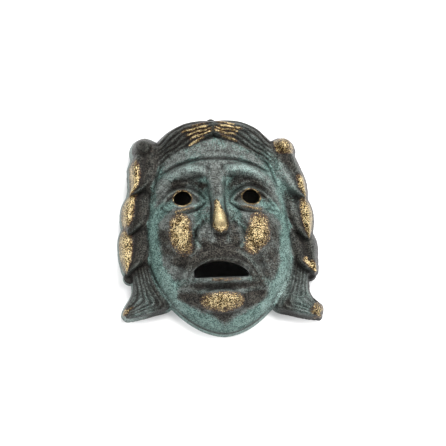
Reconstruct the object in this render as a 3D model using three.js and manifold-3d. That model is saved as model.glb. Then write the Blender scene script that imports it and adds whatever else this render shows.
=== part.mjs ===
// A bronze mask of a tragic face, cast in one piece and hollow behind, lying on the flat rim of its back.
// Millimetres. X runs across the face, Y from the chin to the hair, and Z out of the face.

import Module from "manifold-3d";
import * as THREE from "three";
import { mergeVertices } from "three/addons/utils/BufferGeometryUtils.js";

const wasm = await Module();
wasm.setup();

// Driving sizes of the casting
const FACE_HALF_WIDTH = 47;
const JAW_HALF_WIDTH = 48.5;
const JAW_Y = -35;
const FACE_CENTRE_Y = -8;
const CHIN_DROP = 61;
const BROW_RISE = 84;
const FACE_TOP = 70;
const EDGE_HEIGHT = 8;
const CHIN_EDGE = { height: 4, fromY: -34, toY: -56 };
const DOME_RISE = 25;
const CHIN_SQUARENESS = 1.88;
const TEMPLE_SQUARENESS = 2.4;
const MIDLINE_LEAN = -0.04;
const WALL = 3.6;
const WALL_PROBES = 8;
const SIDE_DRAFT = THREE.MathUtils.degToRad(19);
const DRAFT_LIMIT = 11;

// Depth of the parts that are trimmed off level with the rim
const FOOT = -1;

// Eye holes and mouth opening
const EYE = { x: 21.5, y: 15.3, halfWidth: 5.5, halfHeight: 5.1, sides: 24 };
const MOUTH = { halfWidth: 17.8, crownY: -25.4, crownShift: -2, cornerY: -32.6, steps: 12 };
const MOUTH_SILL = { halfWidth: 15, y: -34.7 };
const CUTTER_LENGTH = 80;

// Hollow of the back: its edge, its depth under the hair, its upright lip and the top of its vault
const HOLLOW = { centreY: 1, halfWidth: 56.5, rise: 63.5, drop: 63.5, squareness: 2.2, chinSquareness: 1.92 };
const HOLLOW_DEPTH = { hair: 7.5, lip: 3, vault: 30, vaultSquareness: 4 };
const HAIR_STARTS_Y = -30;
const HAIR_ENDS_Y = -50;

// Thin ridges and furrows: how far their sides sink and how steeply, and how deep their solids reach
const RIDGE_SINK = 0.9;
const SINK_SQUARENESS = 4;
const RIDGE_DEPTH = 2.4;

// How finely each form is divided
const FACE_RINGS = 18;
const HOLLOW_RINGS = 10;
const LINE_STEPS = 24;
const RIDGE_ROWS = 10;
const RIDGE_COLUMNS = 4;

// Raised and sunk forms on the middle of the face. A mound has a place and a size,
// a ridge has a line, and a negative lift sinks the form into the face.
const MIDDLE_FORMS = [
  // Broad foot of the nose
  { line: [[0, 33], [0, 15], [0, -6]], half: [9, 11, 15], lift: [0, 2.5, 3.5], power: 1.3 },
  // Swelling around the mouth, then the chin and its boss
  { at: [0, -27], size: [27, 17], lift: 2.6, power: 1 },
  { at: [0, -49], size: [27, 17], lift: 3, power: 1.2 },
  { at: [-1.2, -49.3], size: [15, 7.6], lift: 5, power: 0.7 },
];

// Forms that both halves of the face have, given for the half with positive X
const PAIRED_FORMS = [
  // Eye socket and eyeball
  { at: [20, 21.5], size: [17, 11.5], lift: -5.8, power: 1.2 },
  { at: [10.5, 19], size: [8, 13], lift: -3.4, power: 1.2 },
  { at: [22, 14.5], size: [14, 9], lift: 4.4, power: 0.8 },
  // Wing of the nose, cheek, and the fold between the cheek and the mouth
  { at: [9.2, -10], size: [5.8, 6.4], lift: 1.9, power: 1 },
  { at: [24, -7], size: [15, 20], lift: 5.4, power: 1.2 },
  {
    line: [[12, 4], [16.5, -6], [18, -15], [24, -25], [29, -36]],
    half: [2.4, 2.8, 3, 3, 2.4],
    lift: [-0.8, -2, -2.4, -2, -0.6],
    power: 1,
  },
];

// Thin forms that are solids of their own: raised ones are joined and sunk ones are cut. One that crosses
// the midline is given from there outward and mirrored, and one with two sides is there once on each.
const THIN_FORMS = [
  // Bridge of the nose, which widens to the tip
  {
    crosses: false,
    sides: [1],
    line: [[0, 34], [0, 14], [0.4, -5.6]],
    half: [5, 5.2, 5.2, 5, 4.6, 4.1, 4.4, 5.3, 4.4],
    lift: [0.2, 0.4, 1.1, 2.2, 4, 6.4, 8.6, 9.6, 0],
    power: 0.8,
    columns: 8,
  },
  // Brow ridge
  {
    crosses: false,
    sides: [1, -1],
    line: [[5, 31.2], [10, 33.2], [18, 32.8], [28, 29.2], [38, 22.2]],
    half: [3, 4.4, 4.8, 4.6, 3],
    lift: [1.6, 3.4, 3.6, 2.6, 0.6],
    power: 1.2,
    columns: RIDGE_COLUMNS,
  },
  // Furrow of the forehead
  {
    crosses: true,
    sides: [1],
    line: [[0, 40.8], [13, 40], [24, 37.2], [34, 32.8]],
    half: [1.8, 1.8, 1.7, 1.3],
    lift: [-1.5, -1.6, -1.4, -0.8],
    power: 1,
    columns: RIDGE_COLUMNS,
  },
  // Upper lid
  {
    crosses: false,
    sides: [1, -1],
    line: [[8.5, 13], [14.5, 19.6], [21.7, 21.8], [28.4, 18.8], [34.4, 12.6], [41, 5.6]],
    half: [1.1, 1.4, 1.5, 1.5, 1.4, 1.1],
    lift: [0.8, 1.7, 1.9, 1.7, 1.4, 0.6],
    power: 1,
    columns: RIDGE_COLUMNS,
  },
  // Lower lid
  {
    crosses: false,
    sides: [1, -1],
    line: [[8.5, 13], [14, 9.8], [21.5, 7.4], [30, 6], [40, 5]],
    half: [1.1, 1.3, 1.4, 1.3, 1],
    lift: [0.8, 1.5, 1.6, 1.3, 0.6],
    power: 1,
    columns: RIDGE_COLUMNS,
  },
  // Upper lip
  {
    crosses: true,
    sides: [1],
    line: [[0, -23.4], [8, -24.4], [15.2, -28], [19.6, -33], [21, -38]],
    half: [1.5, 1.5, 1.5, 1.5, 1.2],
    lift: [1.3, 1.3, 1.3, 1.1, 0.4],
    power: 1,
    columns: RIDGE_COLUMNS,
  },
  // Lower lip, and the crease under it
  {
    crosses: true,
    sides: [1],
    line: [[0, -36.6], [9, -36.6], [16, -35.4]],
    half: [1.9, 1.9, 1.5],
    lift: [1.8, 1.8, 1],
    power: 1,
    columns: RIDGE_COLUMNS,
  },
  {
    crosses: true,
    sides: [1],
    line: [[0, -40.6], [10, -40.6], [20, -39]],
    half: [2.4, 2.4, 1.8],
    lift: [-1.6, -1.6, -0.8],
    power: 1,
    columns: RIDGE_COLUMNS,
  },
];

// Section and division of each kind of lock. Root and tip give the heights of the outer edge,
// the crown and the inner edge there.
const BAND = {
  root: [13, 30.5, 25.5],
  tip: [11, 19, 15],
  outerRound: 0.5,
  innerRound: 0.2,
  strands: 6,
  groove: 1.6,
  rows: 10,
  columns: 12,
};
const SIDE_LOCK = { outerRound: 0.26, innerRound: 0.16, strands: 2, groove: 1.4, rows: 7, columns: 4 };
const FIRST_LOCK = { ...SIDE_LOCK, root: [7, 21.5, 17], tip: [7, 21.5, 18.5] };
const SECOND_LOCK = { ...SIDE_LOCK, root: [7, 15.5, 12.5], tip: [7, 20, 17] };
const THIRD_LOCK = { ...SIDE_LOCK, root: [7, 14.5, 11.5], tip: [7, 18.5, 15.5] };
const TAIL = {
  root: [5, 13.5, 8],
  tip: [4, 11, 3.2],
  outerRound: 0.24,
  innerRound: 0.2,
  strands: 6,
  groove: 1.3,
  rows: 10,
  columns: 12,
};

// Locks of hair. Each one runs from its root to its tip between an outer and an inner edge.
const LOCKS = [
  {
    ...BAND,
    outer: [[-1, 67], [-9, 67.6], [-19, 66.2], [-27.5, 61.8], [-34, 56], [-39.5, 49.5], [-44, 43]],
    inner: [[-2, 56], [-8, 53], [-14.5, 49.4], [-21, 45.4], [-27.5, 41.8], [-33.5, 38.6], [-39, 35]],
  },
  {
    ...BAND,
    outer: [[-1, 67], [7.5, 67.8], [16.5, 66.5], [25, 62.4], [32, 56.4], [38, 50], [42.5, 43]],
    inner: [[-2, 57], [4.5, 53.8], [12, 51], [18.8, 46], [26.2, 41.4], [33, 37.6], [38, 34]],
  },
  {
    ...FIRST_LOCK,
    outer: [[-51, 46], [-54, 40], [-55.6, 32], [-56.2, 26.5], [-56.3, 22.5], [-56, 19.5]],
    inner: [[-37.5, 46], [-36.8, 38], [-38, 32], [-42.5, 26], [-49, 21.8], [-55.4, 19.2]],
  },
  {
    ...SECOND_LOCK,
    outer: [[-54.5, 23], [-58.8, 16], [-60.3, 9.5], [-59.8, 3.5], [-58.5, -1.5], [-57, -5]],
    inner: [[-40, 27], [-41, 18], [-41, 10.5], [-44, 4], [-50.5, -1.5], [-56.4, -5.3]],
  },
  {
    ...THIRD_LOCK,
    outer: [[-59.5, 2.5], [-62.6, -5.5], [-63, -12], [-61.7, -19.5], [-59.8, -25.5], [-58.2, -29]],
    inner: [[-42, 4], [-42, -7], [-43, -15.5], [-47, -22], [-53, -26.5], [-57.6, -29.4]],
  },
  {
    ...FIRST_LOCK,
    outer: [[50.3, 44], [53.6, 36], [56, 29.5], [56.6, 23.5], [56.4, 18.5], [56, 15.5]],
    inner: [[36, 44], [36.5, 33], [40.5, 27], [45.5, 21.5], [51.5, 17.3], [55.5, 15.2]],
  },
  {
    ...SECOND_LOCK,
    outer: [[55, 19], [59.3, 12.5], [60.9, 5.5], [60.4, -1], [59, -7], [57.5, -11]],
    inner: [[40.5, 22], [42, 13], [43.5, 6], [47.5, -2.5], [53, -8.5], [56.9, -11.3]],
  },
  {
    ...THIRD_LOCK,
    outer: [[58, -3], [61.5, -8.5], [62.6, -14], [62.2, -20.5], [62, -26.5], [61.4, -32]],
    inner: [[43.5, -4], [44.5, -14], [46, -20], [49.5, -25], [54, -29], [60.8, -32.4]],
  },
  {
    ...TAIL,
    outer: [[-56, -24], [-55.2, -34], [-55, -40], [-56.6, -44.5], [-58.8, -48], [-60.4, -51], [-61.2, -54]],
    inner: [[-45.5, -21], [-42, -33], [-38, -41.5], [-32, -50.6], [-41, -53.8], [-51, -56.4], [-59, -57.2]],
  },
  {
    ...TAIL,
    outer: [[58, -25], [56.4, -35.5], [56.2, -42], [58.4, -46.5], [61, -50], [63.4, -52.5], [65, -55.3]],
    inner: [[47.5, -21.5], [44.4, -33], [40.5, -42.6], [35, -52.8], [45, -56.6], [55.5, -59.2], [63.4, -60]],
  },
];

// Round curls over the temples, small flaps under the third lock of each side, and the end of a tail
const CURLS = [
  { x: -45, y: 50, radius: 7.4, skirt: 1.7, waist: 5, top: 25.5, sides: 16, steps: 4 },
  { x: 43.8, y: 48.8, radius: 7.2, skirt: 1.7, waist: 5, top: 25.5, sides: 16, steps: 4 },
  { x: -57, y: -31, radius: 3.8, skirt: 1.3, waist: 3.5, top: 6.4, sides: 10, steps: 2 },
  { x: 58.8, y: -31.8, radius: 3.6, skirt: 1.3, waist: 3.5, top: 6.4, sides: 10, steps: 2 },
  { x: 60.4, y: -55, radius: 5.2, skirt: 1.2, waist: 3, top: 13, sides: 12, steps: 3 },
];

// Hanging eye at the back of the top edge
const HANGING_EYE = { x: -2, y: 69, z: 1.2, ringRadius: 2.4, wireRadius: 0.9 };

// Block that trims the casting level with the rim
const GROUND = { side: 400, depth: 20 };

/** Samples of a smooth line through a few points. */
function trace(points, steps) {
  const corners = points.map(([x, y]) => new THREE.Vector2(x, y));
  return new THREE.SplineCurve(corners).getPoints(steps);
}

/** Value at a place from 0 to 1 along evenly spaced settings. */
function setting(values, place) {
  const last = values.length - 1;
  const step = Math.min(Math.floor(place * last), last - 1);
  return THREE.MathUtils.lerp(values[step], values[step + 1], place * last - step);
}

/** Rise of a quarter round from 0 to 1 over the given width. */
function quarterRound(distance, width) {
  const rest = 1 - Math.min(distance / width, 1);
  return Math.sqrt(1 - rest * rest);
}

/** Height that an oval mound adds at a point. */
function moundHeight(x, y, { at, size, lift, power }) {
  const rest = 1 - ((x - at[0]) / size[0]) ** 2 - ((y - at[1]) / size[1]) ** 2;
  return rest > 0 ? lift * rest ** power : 0;
}

/** Height that a ridge along a line adds at a point. */
function ridgeHeight(x, y, { samples, half, lift, power }) {
  let nearest = Infinity;
  let place = 0;
  for (let step = 0; step < LINE_STEPS; step += 1) {
    const start = samples[step];
    const run = samples[step + 1].clone().sub(start);
    const toPoint = new THREE.Vector2(x, y).sub(start);
    const part = THREE.MathUtils.clamp(toPoint.dot(run) / run.lengthSq(), 0, 1);
    const distance = toPoint.addScaledVector(run, -part).length();
    if (distance < nearest) {
      nearest = distance;
      place = (step + part) / LINE_STEPS;
    }
  }
  const rest = 1 - (nearest / setting(half, place)) ** 2;
  return rest > 0 ? setting(lift, place) * rest ** power : 0;
}

for (const form of [...MIDDLE_FORMS, ...PAIRED_FORMS]) {
  if (form.line) {
    form.samples = trace(form.line, LINE_STEPS);
  }
}

/** Sum of the mounds and ridges of a list at a point. */
function reliefHeight(forms, x, y) {
  let height = 0;
  for (const form of forms) {
    height += form.line ? ridgeHeight(x, y, form) : moundHeight(x, y, form);
  }
  return height;
}

/** Half the width of the face, which grows from the temples to the jaw. */
function halfWidthAt(y) {
  const part = THREE.MathUtils.smoothstep(-y, -FACE_CENTRE_Y, -JAW_Y);
  return THREE.MathUtils.lerp(FACE_HALF_WIDTH, JAW_HALF_WIDTH, part);
}

/** Height of the face's edge over the rim, which is low under the chin. */
function edgeHeightAt(y) {
  const part = THREE.MathUtils.smoothstep(-y, -CHIN_EDGE.fromY, -CHIN_EDGE.toY);
  return THREE.MathUtils.lerp(EDGE_HEIGHT, CHIN_EDGE.height, part);
}

/** Height of the face over the rim. */
function faceHeight(x, y) {
  const across = x - MIDLINE_LEAN * y;
  const up = y - FACE_CENTRE_Y;
  const power = up < 0 ? CHIN_SQUARENESS : 2;
  const reach = up < 0 ? CHIN_DROP : BROW_RISE;
  const filled = (Math.abs(across) / halfWidthAt(y)) ** power + (Math.abs(up) / reach) ** power;
  const dome = edgeHeightAt(y) + DOME_RISE * Math.sqrt(Math.max(1 - filled, 0));
  const middle = reliefHeight(MIDDLE_FORMS, across, y);
  const paired = reliefHeight(PAIRED_FORMS, Math.abs(across), y);
  return dome + middle + paired;
}

/** Distance from the face's centre to its edge in a direction. */
function faceReach(angle) {
  const lower = Math.sin(angle) < 0;
  const sideY = FACE_CENTRE_Y + Math.sin(angle) * FACE_HALF_WIDTH;
  const across = Math.abs(Math.cos(angle)) / halfWidthAt(sideY);
  const power = lower ? CHIN_SQUARENESS : TEMPLE_SQUARENESS;
  const up = Math.abs(Math.sin(angle)) / (lower ? CHIN_DROP : FACE_TOP);
  return (across ** power + up ** power) ** (-1 / power);
}

/** Height of a lock at a place along it and across it, both from 0 to 1. */
function lockHeight(lock, along, across) {
  const between = (start, edge) => THREE.MathUtils.lerp(start, lock.tip[edge], along);
  const [outer, crown, inner] = lock.root.map(between);
  const rise = (crown - outer) * quarterRound(across, lock.outerRound);
  const fall = (crown - inner) * (1 - quarterRound(1 - across, lock.innerRound));
  const strand = 2 * ((across * lock.strands) % 1) - 1;
  return outer + rise - fall - lock.groove * strand * strand;
}

/** Solid from corner points and triangles, with its faces outward. */
function closedSolid(points, triangles) {
  let volume = 0;
  for (const [first, second, third] of triangles) {
    volume += points[first].dot(points[second].clone().cross(points[third]));
  }
  const flip = ([first, second, third]) => [first, third, second];
  const turned = volume < 0 ? triangles.map(flip) : triangles;
  const vertProperties = new Float32Array(points.flatMap((point) => point.toArray()));
  const triVerts = new Uint32Array(turned.flat());
  return new wasm.Manifold(new wasm.Mesh({ numProp: 3, vertProperties, triVerts }));
}

/** Solid from a closed three.js geometry. */
function geometrySolid(geometry) {
  const bare = new THREE.BufferGeometry();
  bare.setAttribute("position", geometry.attributes.position);
  bare.setIndex(geometry.index);
  const merged = mergeVertices(bare, 1e-4);
  const points = [];
  for (let corner = 0; corner < merged.attributes.position.count; corner += 1) {
    points.push(new THREE.Vector3().fromBufferAttribute(merged.attributes.position, corner));
  }
  const triangles = [];
  for (let start = 0; start < merged.index.count; start += 3) {
    const corners = [0, 1, 2].map((step) => merged.index.getX(start + step));
    if (new Set(corners).size === 3) {
      triangles.push(corners);
    }
  }
  return closedSolid(points, triangles);
}

/** Points of a closed line moved outward on a plane, each by the draft of its height. */
function flaredFoot(edge) {
  let area = 0;
  edge.forEach((point, corner) => {
    const next = edge[(corner + 1) % edge.length];
    area += point.x * next.y - next.x * point.y;
  });
  return edge.map((point, corner) => {
    const before = edge[(corner + edge.length - 1) % edge.length];
    const after = edge[(corner + 1) % edge.length];
    const outward = new THREE.Vector2(after.y - before.y, before.x - after.x).normalize();
    const shift = Math.sign(area) * (Math.min(point.z, DRAFT_LIMIT) - FOOT) * Math.tan(SIDE_DRAFT);
    return new THREE.Vector3(point.x + outward.x * shift, point.y + outward.y * shift, FOOT);
  });
}

/** Corners around the border of a grid, in order. */
function gridBorder(rows, columns) {
  const border = [];
  for (let column = 0; column < columns; column += 1) {
    border.push(column);
  }
  for (let row = 0; row < rows; row += 1) {
    border.push(row * (columns + 1) + columns);
  }
  for (let column = columns; column > 0; column -= 1) {
    border.push(rows * (columns + 1) + column);
  }
  for (let row = rows; row > 0; row -= 1) {
    border.push(row * (columns + 1));
  }
  return border;
}

/** Closed solid between two grids of points, one over the other. */
function gridSolid(upper, lower, rows, columns) {
  const triangles = [];
  const shift = upper.length;
  for (let row = 0; row < rows; row += 1) {
    for (let column = 0; column < columns; column += 1) {
      const a = row * (columns + 1) + column;
      const b = a + 1;
      const d = a + columns + 1;
      const c = d + 1;
      triangles.push([a, b, c], [a, c, d]);
      triangles.push([a + shift, c + shift, b + shift], [a + shift, d + shift, c + shift]);
    }
  }
  const border = gridBorder(rows, columns);
  border.forEach((corner, step) => {
    const next = border[(step + 1) % border.length];
    triangles.push([corner, corner + shift, next + shift], [corner, next + shift, next]);
  });
  return closedSolid([...upper, ...lower], triangles);
}

/** Closed solid of a lock, with flared sides down to the foot. */
function makeLock(lock) {
  const outerSide = trace(lock.outer, lock.rows);
  const innerSide = trace(lock.inner, lock.rows);
  const upper = [];
  for (let row = 0; row <= lock.rows; row += 1) {
    for (let column = 0; column <= lock.columns; column += 1) {
      const across = column / lock.columns;
      const place = outerSide[row].clone().lerp(innerSide[row], across);
      upper.push(new THREE.Vector3(place.x, place.y, lockHeight(lock, row / lock.rows, across)));
    }
  }
  const lower = upper.map((point) => new THREE.Vector3(point.x, point.y, FOOT));
  const border = gridBorder(lock.rows, lock.columns);
  flaredFoot(border.map((corner) => upper[corner])).forEach((point, step) => lower[border[step]].copy(point));
  return gridSolid(upper, lower, lock.rows, lock.columns);
}

/** Closed solid along a line on the face, raised over it or sunk into it. */
function makeThinForm(form, side) {
  const outward = form.line.map(([x, y]) => [x * side, y]);
  const inward = form.crosses ? form.line.slice(1).reverse().map(([x, y]) => [-x * side, y]) : [];
  const path = trace([...inward, ...outward], RIDGE_ROWS);
  const sign = Math.sign(form.lift[0]);
  const { columns } = form;
  const upper = [];
  const lower = [];
  path.forEach((point, row) => {
    const part = row / RIDGE_ROWS;
    const place = form.crosses ? Math.abs(2 * part - 1) : part;
    const ahead = path[Math.min(row + 1, RIDGE_ROWS)].clone().sub(path[Math.max(row - 1, 0)]).normalize();
    for (let column = 0; column <= columns; column += 1) {
      const across = (2 * column) / columns - 1;
      const half = setting(form.half, place) * across;
      const x = point.x - ahead.y * half + MIDLINE_LEAN * point.y;
      const y = point.y + ahead.x * half;
      const ground = faceHeight(x, y);
      const arch = (1 - across * across) ** form.power;
      const rise = Math.abs(setting(form.lift, place)) * arch - RIDGE_SINK * across ** SINK_SQUARENESS;
      upper.push(new THREE.Vector3(x, y, ground + sign * rise));
      lower.push(new THREE.Vector3(x, y, ground - sign * RIDGE_DEPTH));
    }
  });
  return gridSolid(upper, lower, RIDGE_ROWS, columns);
}

/** Closed solid of rings around a centre, from a reach in each direction and a height. */
function ringSolid(rings, centre, reach, height, flared) {
  const sectors = 6;
  const points = [new THREE.Vector3(centre.x, centre.y, height(centre.x, centre.y, 0))];
  for (let ring = 1; ring <= rings; ring += 1) {
    for (let step = 0; step < sectors * ring; step += 1) {
      const angle = (2 * Math.PI * step) / (sectors * ring);
      const distance = (reach(angle) * ring) / rings;
      const x = centre.x + distance * Math.cos(angle);
      const y = centre.y + distance * Math.sin(angle);
      points.push(new THREE.Vector3(x, y, height(x, y, ring / rings)));
    }
  }
  const index = (ring, step) => {
    const ringStart = 1 + (sectors * ring * (ring - 1)) / 2;
    return ring === 0 ? 0 : ringStart + (step % (sectors * ring));
  };
  const triangles = [];
  for (let ring = 0; ring < rings; ring += 1) {
    for (let sector = 0; sector < sectors; sector += 1) {
      for (let step = 0; step <= ring; step += 1) {
        const near = sector * ring + step;
        const far = sector * (ring + 1) + step;
        triangles.push([index(ring, near), index(ring + 1, far), index(ring + 1, far + 1)]);
        if (step < ring) {
          triangles.push([index(ring, near), index(ring + 1, far + 1), index(ring, near + 1)]);
        }
      }
    }
  }
  const edgeStart = index(rings, 0);
  const edge = points.slice(edgeStart);
  const foot = flared ? flaredFoot(edge) : edge.map((point) => new THREE.Vector3(point.x, point.y, FOOT));
  const lower = points.length;
  const footCentre = lower + edge.length;
  edge.forEach((point, step) => {
    const next = (step + 1) % edge.length;
    triangles.push([edgeStart + step, lower + step, lower + next]);
    triangles.push([edgeStart + step, lower + next, edgeStart + next]);
    triangles.push([lower + step, footCentre, lower + next]);
  });
  return closedSolid([...points, ...foot, new THREE.Vector3(centre.x, centre.y, FOOT)], triangles);
}

/** Face with its features, down to the foot. */
function makeFace() {
  const centre = new THREE.Vector2(MIDLINE_LEAN * FACE_CENTRE_Y, FACE_CENTRE_Y);
  return ringSolid(FACE_RINGS, centre, faceReach, faceHeight, true);
}

/** Round curl with a domed top and a skirt that widens to the foot. */
function makeCurl({ x, y, radius, skirt, waist, top, sides, steps }) {
  const profile = [new THREE.Vector2(0, FOOT), new THREE.Vector2(radius + skirt, FOOT)];
  for (let step = 0; step <= steps; step += 1) {
    const angle = (Math.PI / 2) * (step / steps);
    profile.push(new THREE.Vector2(radius * Math.cos(angle), waist + (top - waist) * Math.sin(angle)));
  }
  profile[profile.length - 1].x = 0;
  const geometry = new THREE.LatheGeometry(profile, sides);
  geometry.rotateX(Math.PI / 2);
  geometry.translate(x, y, 0);
  return geometrySolid(geometry);
}

/** Small ring at the back of the top edge. */
function makeHangingEye() {
  const { x, y, z, ringRadius, wireRadius } = HANGING_EYE;
  const geometry = new THREE.TorusGeometry(ringRadius, wireRadius, 8, 20);
  geometry.translate(x, y, z);
  return geometrySolid(geometry);
}

/** Lowest height of the face within a wall's thickness of a point. */
function lowestNearby(x, y) {
  let lowest = faceHeight(x, y);
  for (let turn = 0; turn < WALL_PROBES; turn += 1) {
    const angle = (2 * Math.PI * turn) / WALL_PROBES;
    lowest = Math.min(lowest, faceHeight(x + WALL * Math.cos(angle), y + WALL * Math.sin(angle)));
  }
  return lowest;
}

/** Hollow of the back, which follows the face at the wall's thickness and has a floor under the hair. */
function makeHollow() {
  const centre = new THREE.Vector2(0, HOLLOW.centreY);
  const reach = (angle) => {
    const lower = Math.sin(angle) < 0;
    const across = Math.abs(Math.cos(angle)) / HOLLOW.halfWidth;
    const up = Math.abs(Math.sin(angle)) / (lower ? HOLLOW.drop : HOLLOW.rise);
    const power = lower ? HOLLOW.chinSquareness : HOLLOW.squareness;
    return (across ** power + up ** power) ** (-1 / power);
  };
  const height = (x, y, ratio) => {
    const { hair, lip, vault, vaultSquareness } = HOLLOW_DEPTH;
    const underHair = hair * THREE.MathUtils.smoothstep(y, HAIR_ENDS_Y, HAIR_STARTS_Y);
    const ceiling = lip + (vault - lip) * Math.sqrt(1 - ratio ** vaultSquareness);
    return Math.min(Math.max(lowestNearby(x, y) - WALL, underHair), ceiling);
  };
  return ringSolid(HOLLOW_RINGS, centre, reach, height, false);
}

/** Drill for one eye hole. */
function makeEyeCutter(side) {
  const geometry = new THREE.CylinderGeometry(1, 1, CUTTER_LENGTH, EYE.sides);
  geometry.rotateX(Math.PI / 2);
  geometry.scale(EYE.halfWidth, EYE.halfHeight, 1);
  geometry.translate(side * EYE.x + MIDLINE_LEAN * EYE.y, EYE.y, CUTTER_LENGTH / 2);
  return geometrySolid(geometry);
}

/** Cutter of the open mouth: an arch over a level sill. */
function makeMouthCutter() {
  const { halfWidth, crownY, crownShift, cornerY, steps } = MOUTH;
  const middle = MIDLINE_LEAN * MOUTH_SILL.y;
  const outline = new THREE.Shape();
  outline.moveTo(middle - MOUTH_SILL.halfWidth, MOUTH_SILL.y);
  for (let step = 0; step <= steps; step += 1) {
    const angle = Math.PI * (1 - step / steps);
    const rise = Math.sin(angle);
    const across = middle + halfWidth * Math.cos(angle) + crownShift * rise;
    outline.lineTo(across, cornerY + (crownY - cornerY) * rise);
  }
  outline.lineTo(middle + MOUTH_SILL.halfWidth, MOUTH_SILL.y);
  const geometry = new THREE.ExtrudeGeometry(outline, { depth: CUTTER_LENGTH, bevelEnabled: false });
  return geometrySolid(geometry);
}

/** Block under the level of the rim. */
function makeGround() {
  const geometry = new THREE.BoxGeometry(GROUND.side, GROUND.side, GROUND.depth);
  geometry.translate(0, 0, -GROUND.depth / 2);
  return geometrySolid(geometry);
}

/** The whole casting, centred on its outer box and standing on its rim. */
function makeMask() {
  let casting = makeFace();
  for (const form of THIN_FORMS) {
    for (const side of form.sides) {
      const solid = makeThinForm(form, side);
      casting = form.lift[0] > 0 ? casting.add(solid) : casting.subtract(solid);
    }
  }
  for (const lock of LOCKS) {
    casting = casting.add(makeLock(lock));
  }
  for (const curl of CURLS) {
    casting = casting.add(makeCurl(curl));
  }
  casting = casting.add(makeHangingEye());
  casting = casting.subtract(makeHollow()).subtract(makeMouthCutter());
  casting = casting.subtract(makeEyeCutter(-1)).subtract(makeEyeCutter(1)).subtract(makeGround());

  const { vertProperties, triVerts } = casting.getMesh();
  const geometry = new THREE.BufferGeometry();
  geometry.setAttribute("position", new THREE.BufferAttribute(vertProperties, 3));
  geometry.setIndex(new THREE.BufferAttribute(triVerts, 1));
  geometry.computeBoundingBox();
  const middle = geometry.boundingBox.getCenter(new THREE.Vector3());
  geometry.translate(-middle.x, -middle.y, -geometry.boundingBox.min.z);
  geometry.computeVertexNormals();

  const bronze = new THREE.MeshStandardMaterial({ color: 0x55534a, roughness: 0.55, metalness: 0.8 });
  const mesh = new THREE.Mesh(geometry, bronze);
  mesh.name = "mask";
  return mesh;
}

const group = new THREE.Group();
group.add(makeMask());

export default group;
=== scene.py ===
"""A cast bronze mask of a tragic face, lying on its rim on a pale floor.

Forms are worked out in millimetres, with X across the face, Y from the chin to the hair and Z out of
the face, and are brought to metres when the casting is done. The finishes and the studio are in metres.
"""

import logging
import math
from collections.abc import Callable
from dataclasses import dataclass, field, replace
from enum import Enum

import bpy
import numpy as np
from mathutils import Matrix, Vector


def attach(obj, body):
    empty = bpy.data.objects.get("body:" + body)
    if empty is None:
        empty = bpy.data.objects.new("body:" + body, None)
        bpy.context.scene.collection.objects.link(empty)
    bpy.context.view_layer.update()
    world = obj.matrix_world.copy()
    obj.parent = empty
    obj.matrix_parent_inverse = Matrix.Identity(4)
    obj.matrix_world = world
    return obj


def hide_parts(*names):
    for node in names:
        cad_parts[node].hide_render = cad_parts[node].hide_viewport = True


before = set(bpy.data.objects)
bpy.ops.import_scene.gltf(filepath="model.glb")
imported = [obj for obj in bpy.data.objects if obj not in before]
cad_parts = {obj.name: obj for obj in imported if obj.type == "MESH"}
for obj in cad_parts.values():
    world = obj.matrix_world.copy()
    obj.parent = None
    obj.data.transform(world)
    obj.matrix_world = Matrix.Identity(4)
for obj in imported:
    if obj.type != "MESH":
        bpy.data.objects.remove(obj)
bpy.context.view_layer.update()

logging.basicConfig(level=logging.INFO, format="%(message)s")
log = logging.getLogger("mask")

MILLIMETRE = 0.001
TURN = 2.0 * math.pi
BLUR_REACH = 2.5
NOISE_CELLS = 128
WALL_STEP = 0.1

Place = tuple[float, float]
Points = tuple[Place, ...]
Triple = tuple[float, float, float]
Colour = tuple[float, float, float, float]
Array = np.ndarray
Socket = bpy.types.NodeSocket


class Sides(Enum):
    """How often a form is on the face."""

    ONCE = "once, where it is placed"
    BOTH = "on both halves, placed for the half with positive X"


class Change(Enum):
    """What a tool does to a piece."""

    JOIN = "UNION"
    CUT = "DIFFERENCE"


class Finish(Enum):
    """Vertex fields that the finish of the bronze reads."""

    BARE = "bare"
    GREEN = "green"
    DARK = "dark"
    # Painted shade in the grooves and hollows
    PAINTED_SHADE = "sunk"
    # Painted highlight on the raised places and the lit side, with pale patina on the jaw
    HIGHLIGHT_AND_PALE = "raised"


# Fields on the inside of the back: no bare metal, a little green, dark, and some painted shade
BEHIND: dict[Finish, float] = {
    Finish.BARE: 0.0,
    Finish.GREEN: 0.25,
    Finish.DARK: 0.8,
    Finish.PAINTED_SHADE: 0.3,
    Finish.HIGHLIGHT_AND_PALE: 0.0,
}


# Helpers for curves and fields


def smooth_line(points: Points, steps: int) -> Array:
    """Sample a smooth open line through a few points.

    Args:
        points: Places that the line passes through.
        steps: Number of steps along the whole line.

    Returns:
        An array of steps + 1 places.
    """
    corners = np.array(points, dtype=float)
    padded = np.vstack([corners[:1], corners, corners[-1:]])
    spans = len(corners) - 1
    run = np.linspace(0.0, spans, steps + 1)
    start = np.minimum(run.astype(int), spans - 1)
    part = (run - start)[:, None]
    before, here, there, after = (padded[start + shift] for shift in range(4))
    slope_here = 0.5 * (there - before)
    slope_there = 0.5 * (after - here)
    cubic = 2 * here - 2 * there + slope_here + slope_there
    square = -3 * here + 3 * there - 2 * slope_here - slope_there
    return cubic * part**3 + square * part**2 + slope_here * part + here


def setting(values: tuple[float, ...], place: Array) -> Array:
    """Read evenly spaced settings at places from 0 to 1, on straight lines between them."""
    return np.interp(place, np.linspace(0.0, 1.0, len(values)), values)


def even_angles(count: int) -> Array:
    """Spread a number of directions evenly around a full turn, from 0 on."""
    return np.arange(count) * (TURN / count)


def around(values: Array, angles: Array) -> Array:
    """Read values that are evenly spaced around a full turn, on straight lines between them."""
    return np.interp(angles % TURN, np.append(even_angles(len(values)), TURN), np.append(values, values[:1]))


def smooth_step(low: float, high: float, value: Array) -> Array:
    """Rise smoothly from 0 at low to 1 at high."""
    part = np.clip((value - low) / (high - low), 0.0, 1.0)
    return part * part * (3.0 - 2.0 * part)


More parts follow.
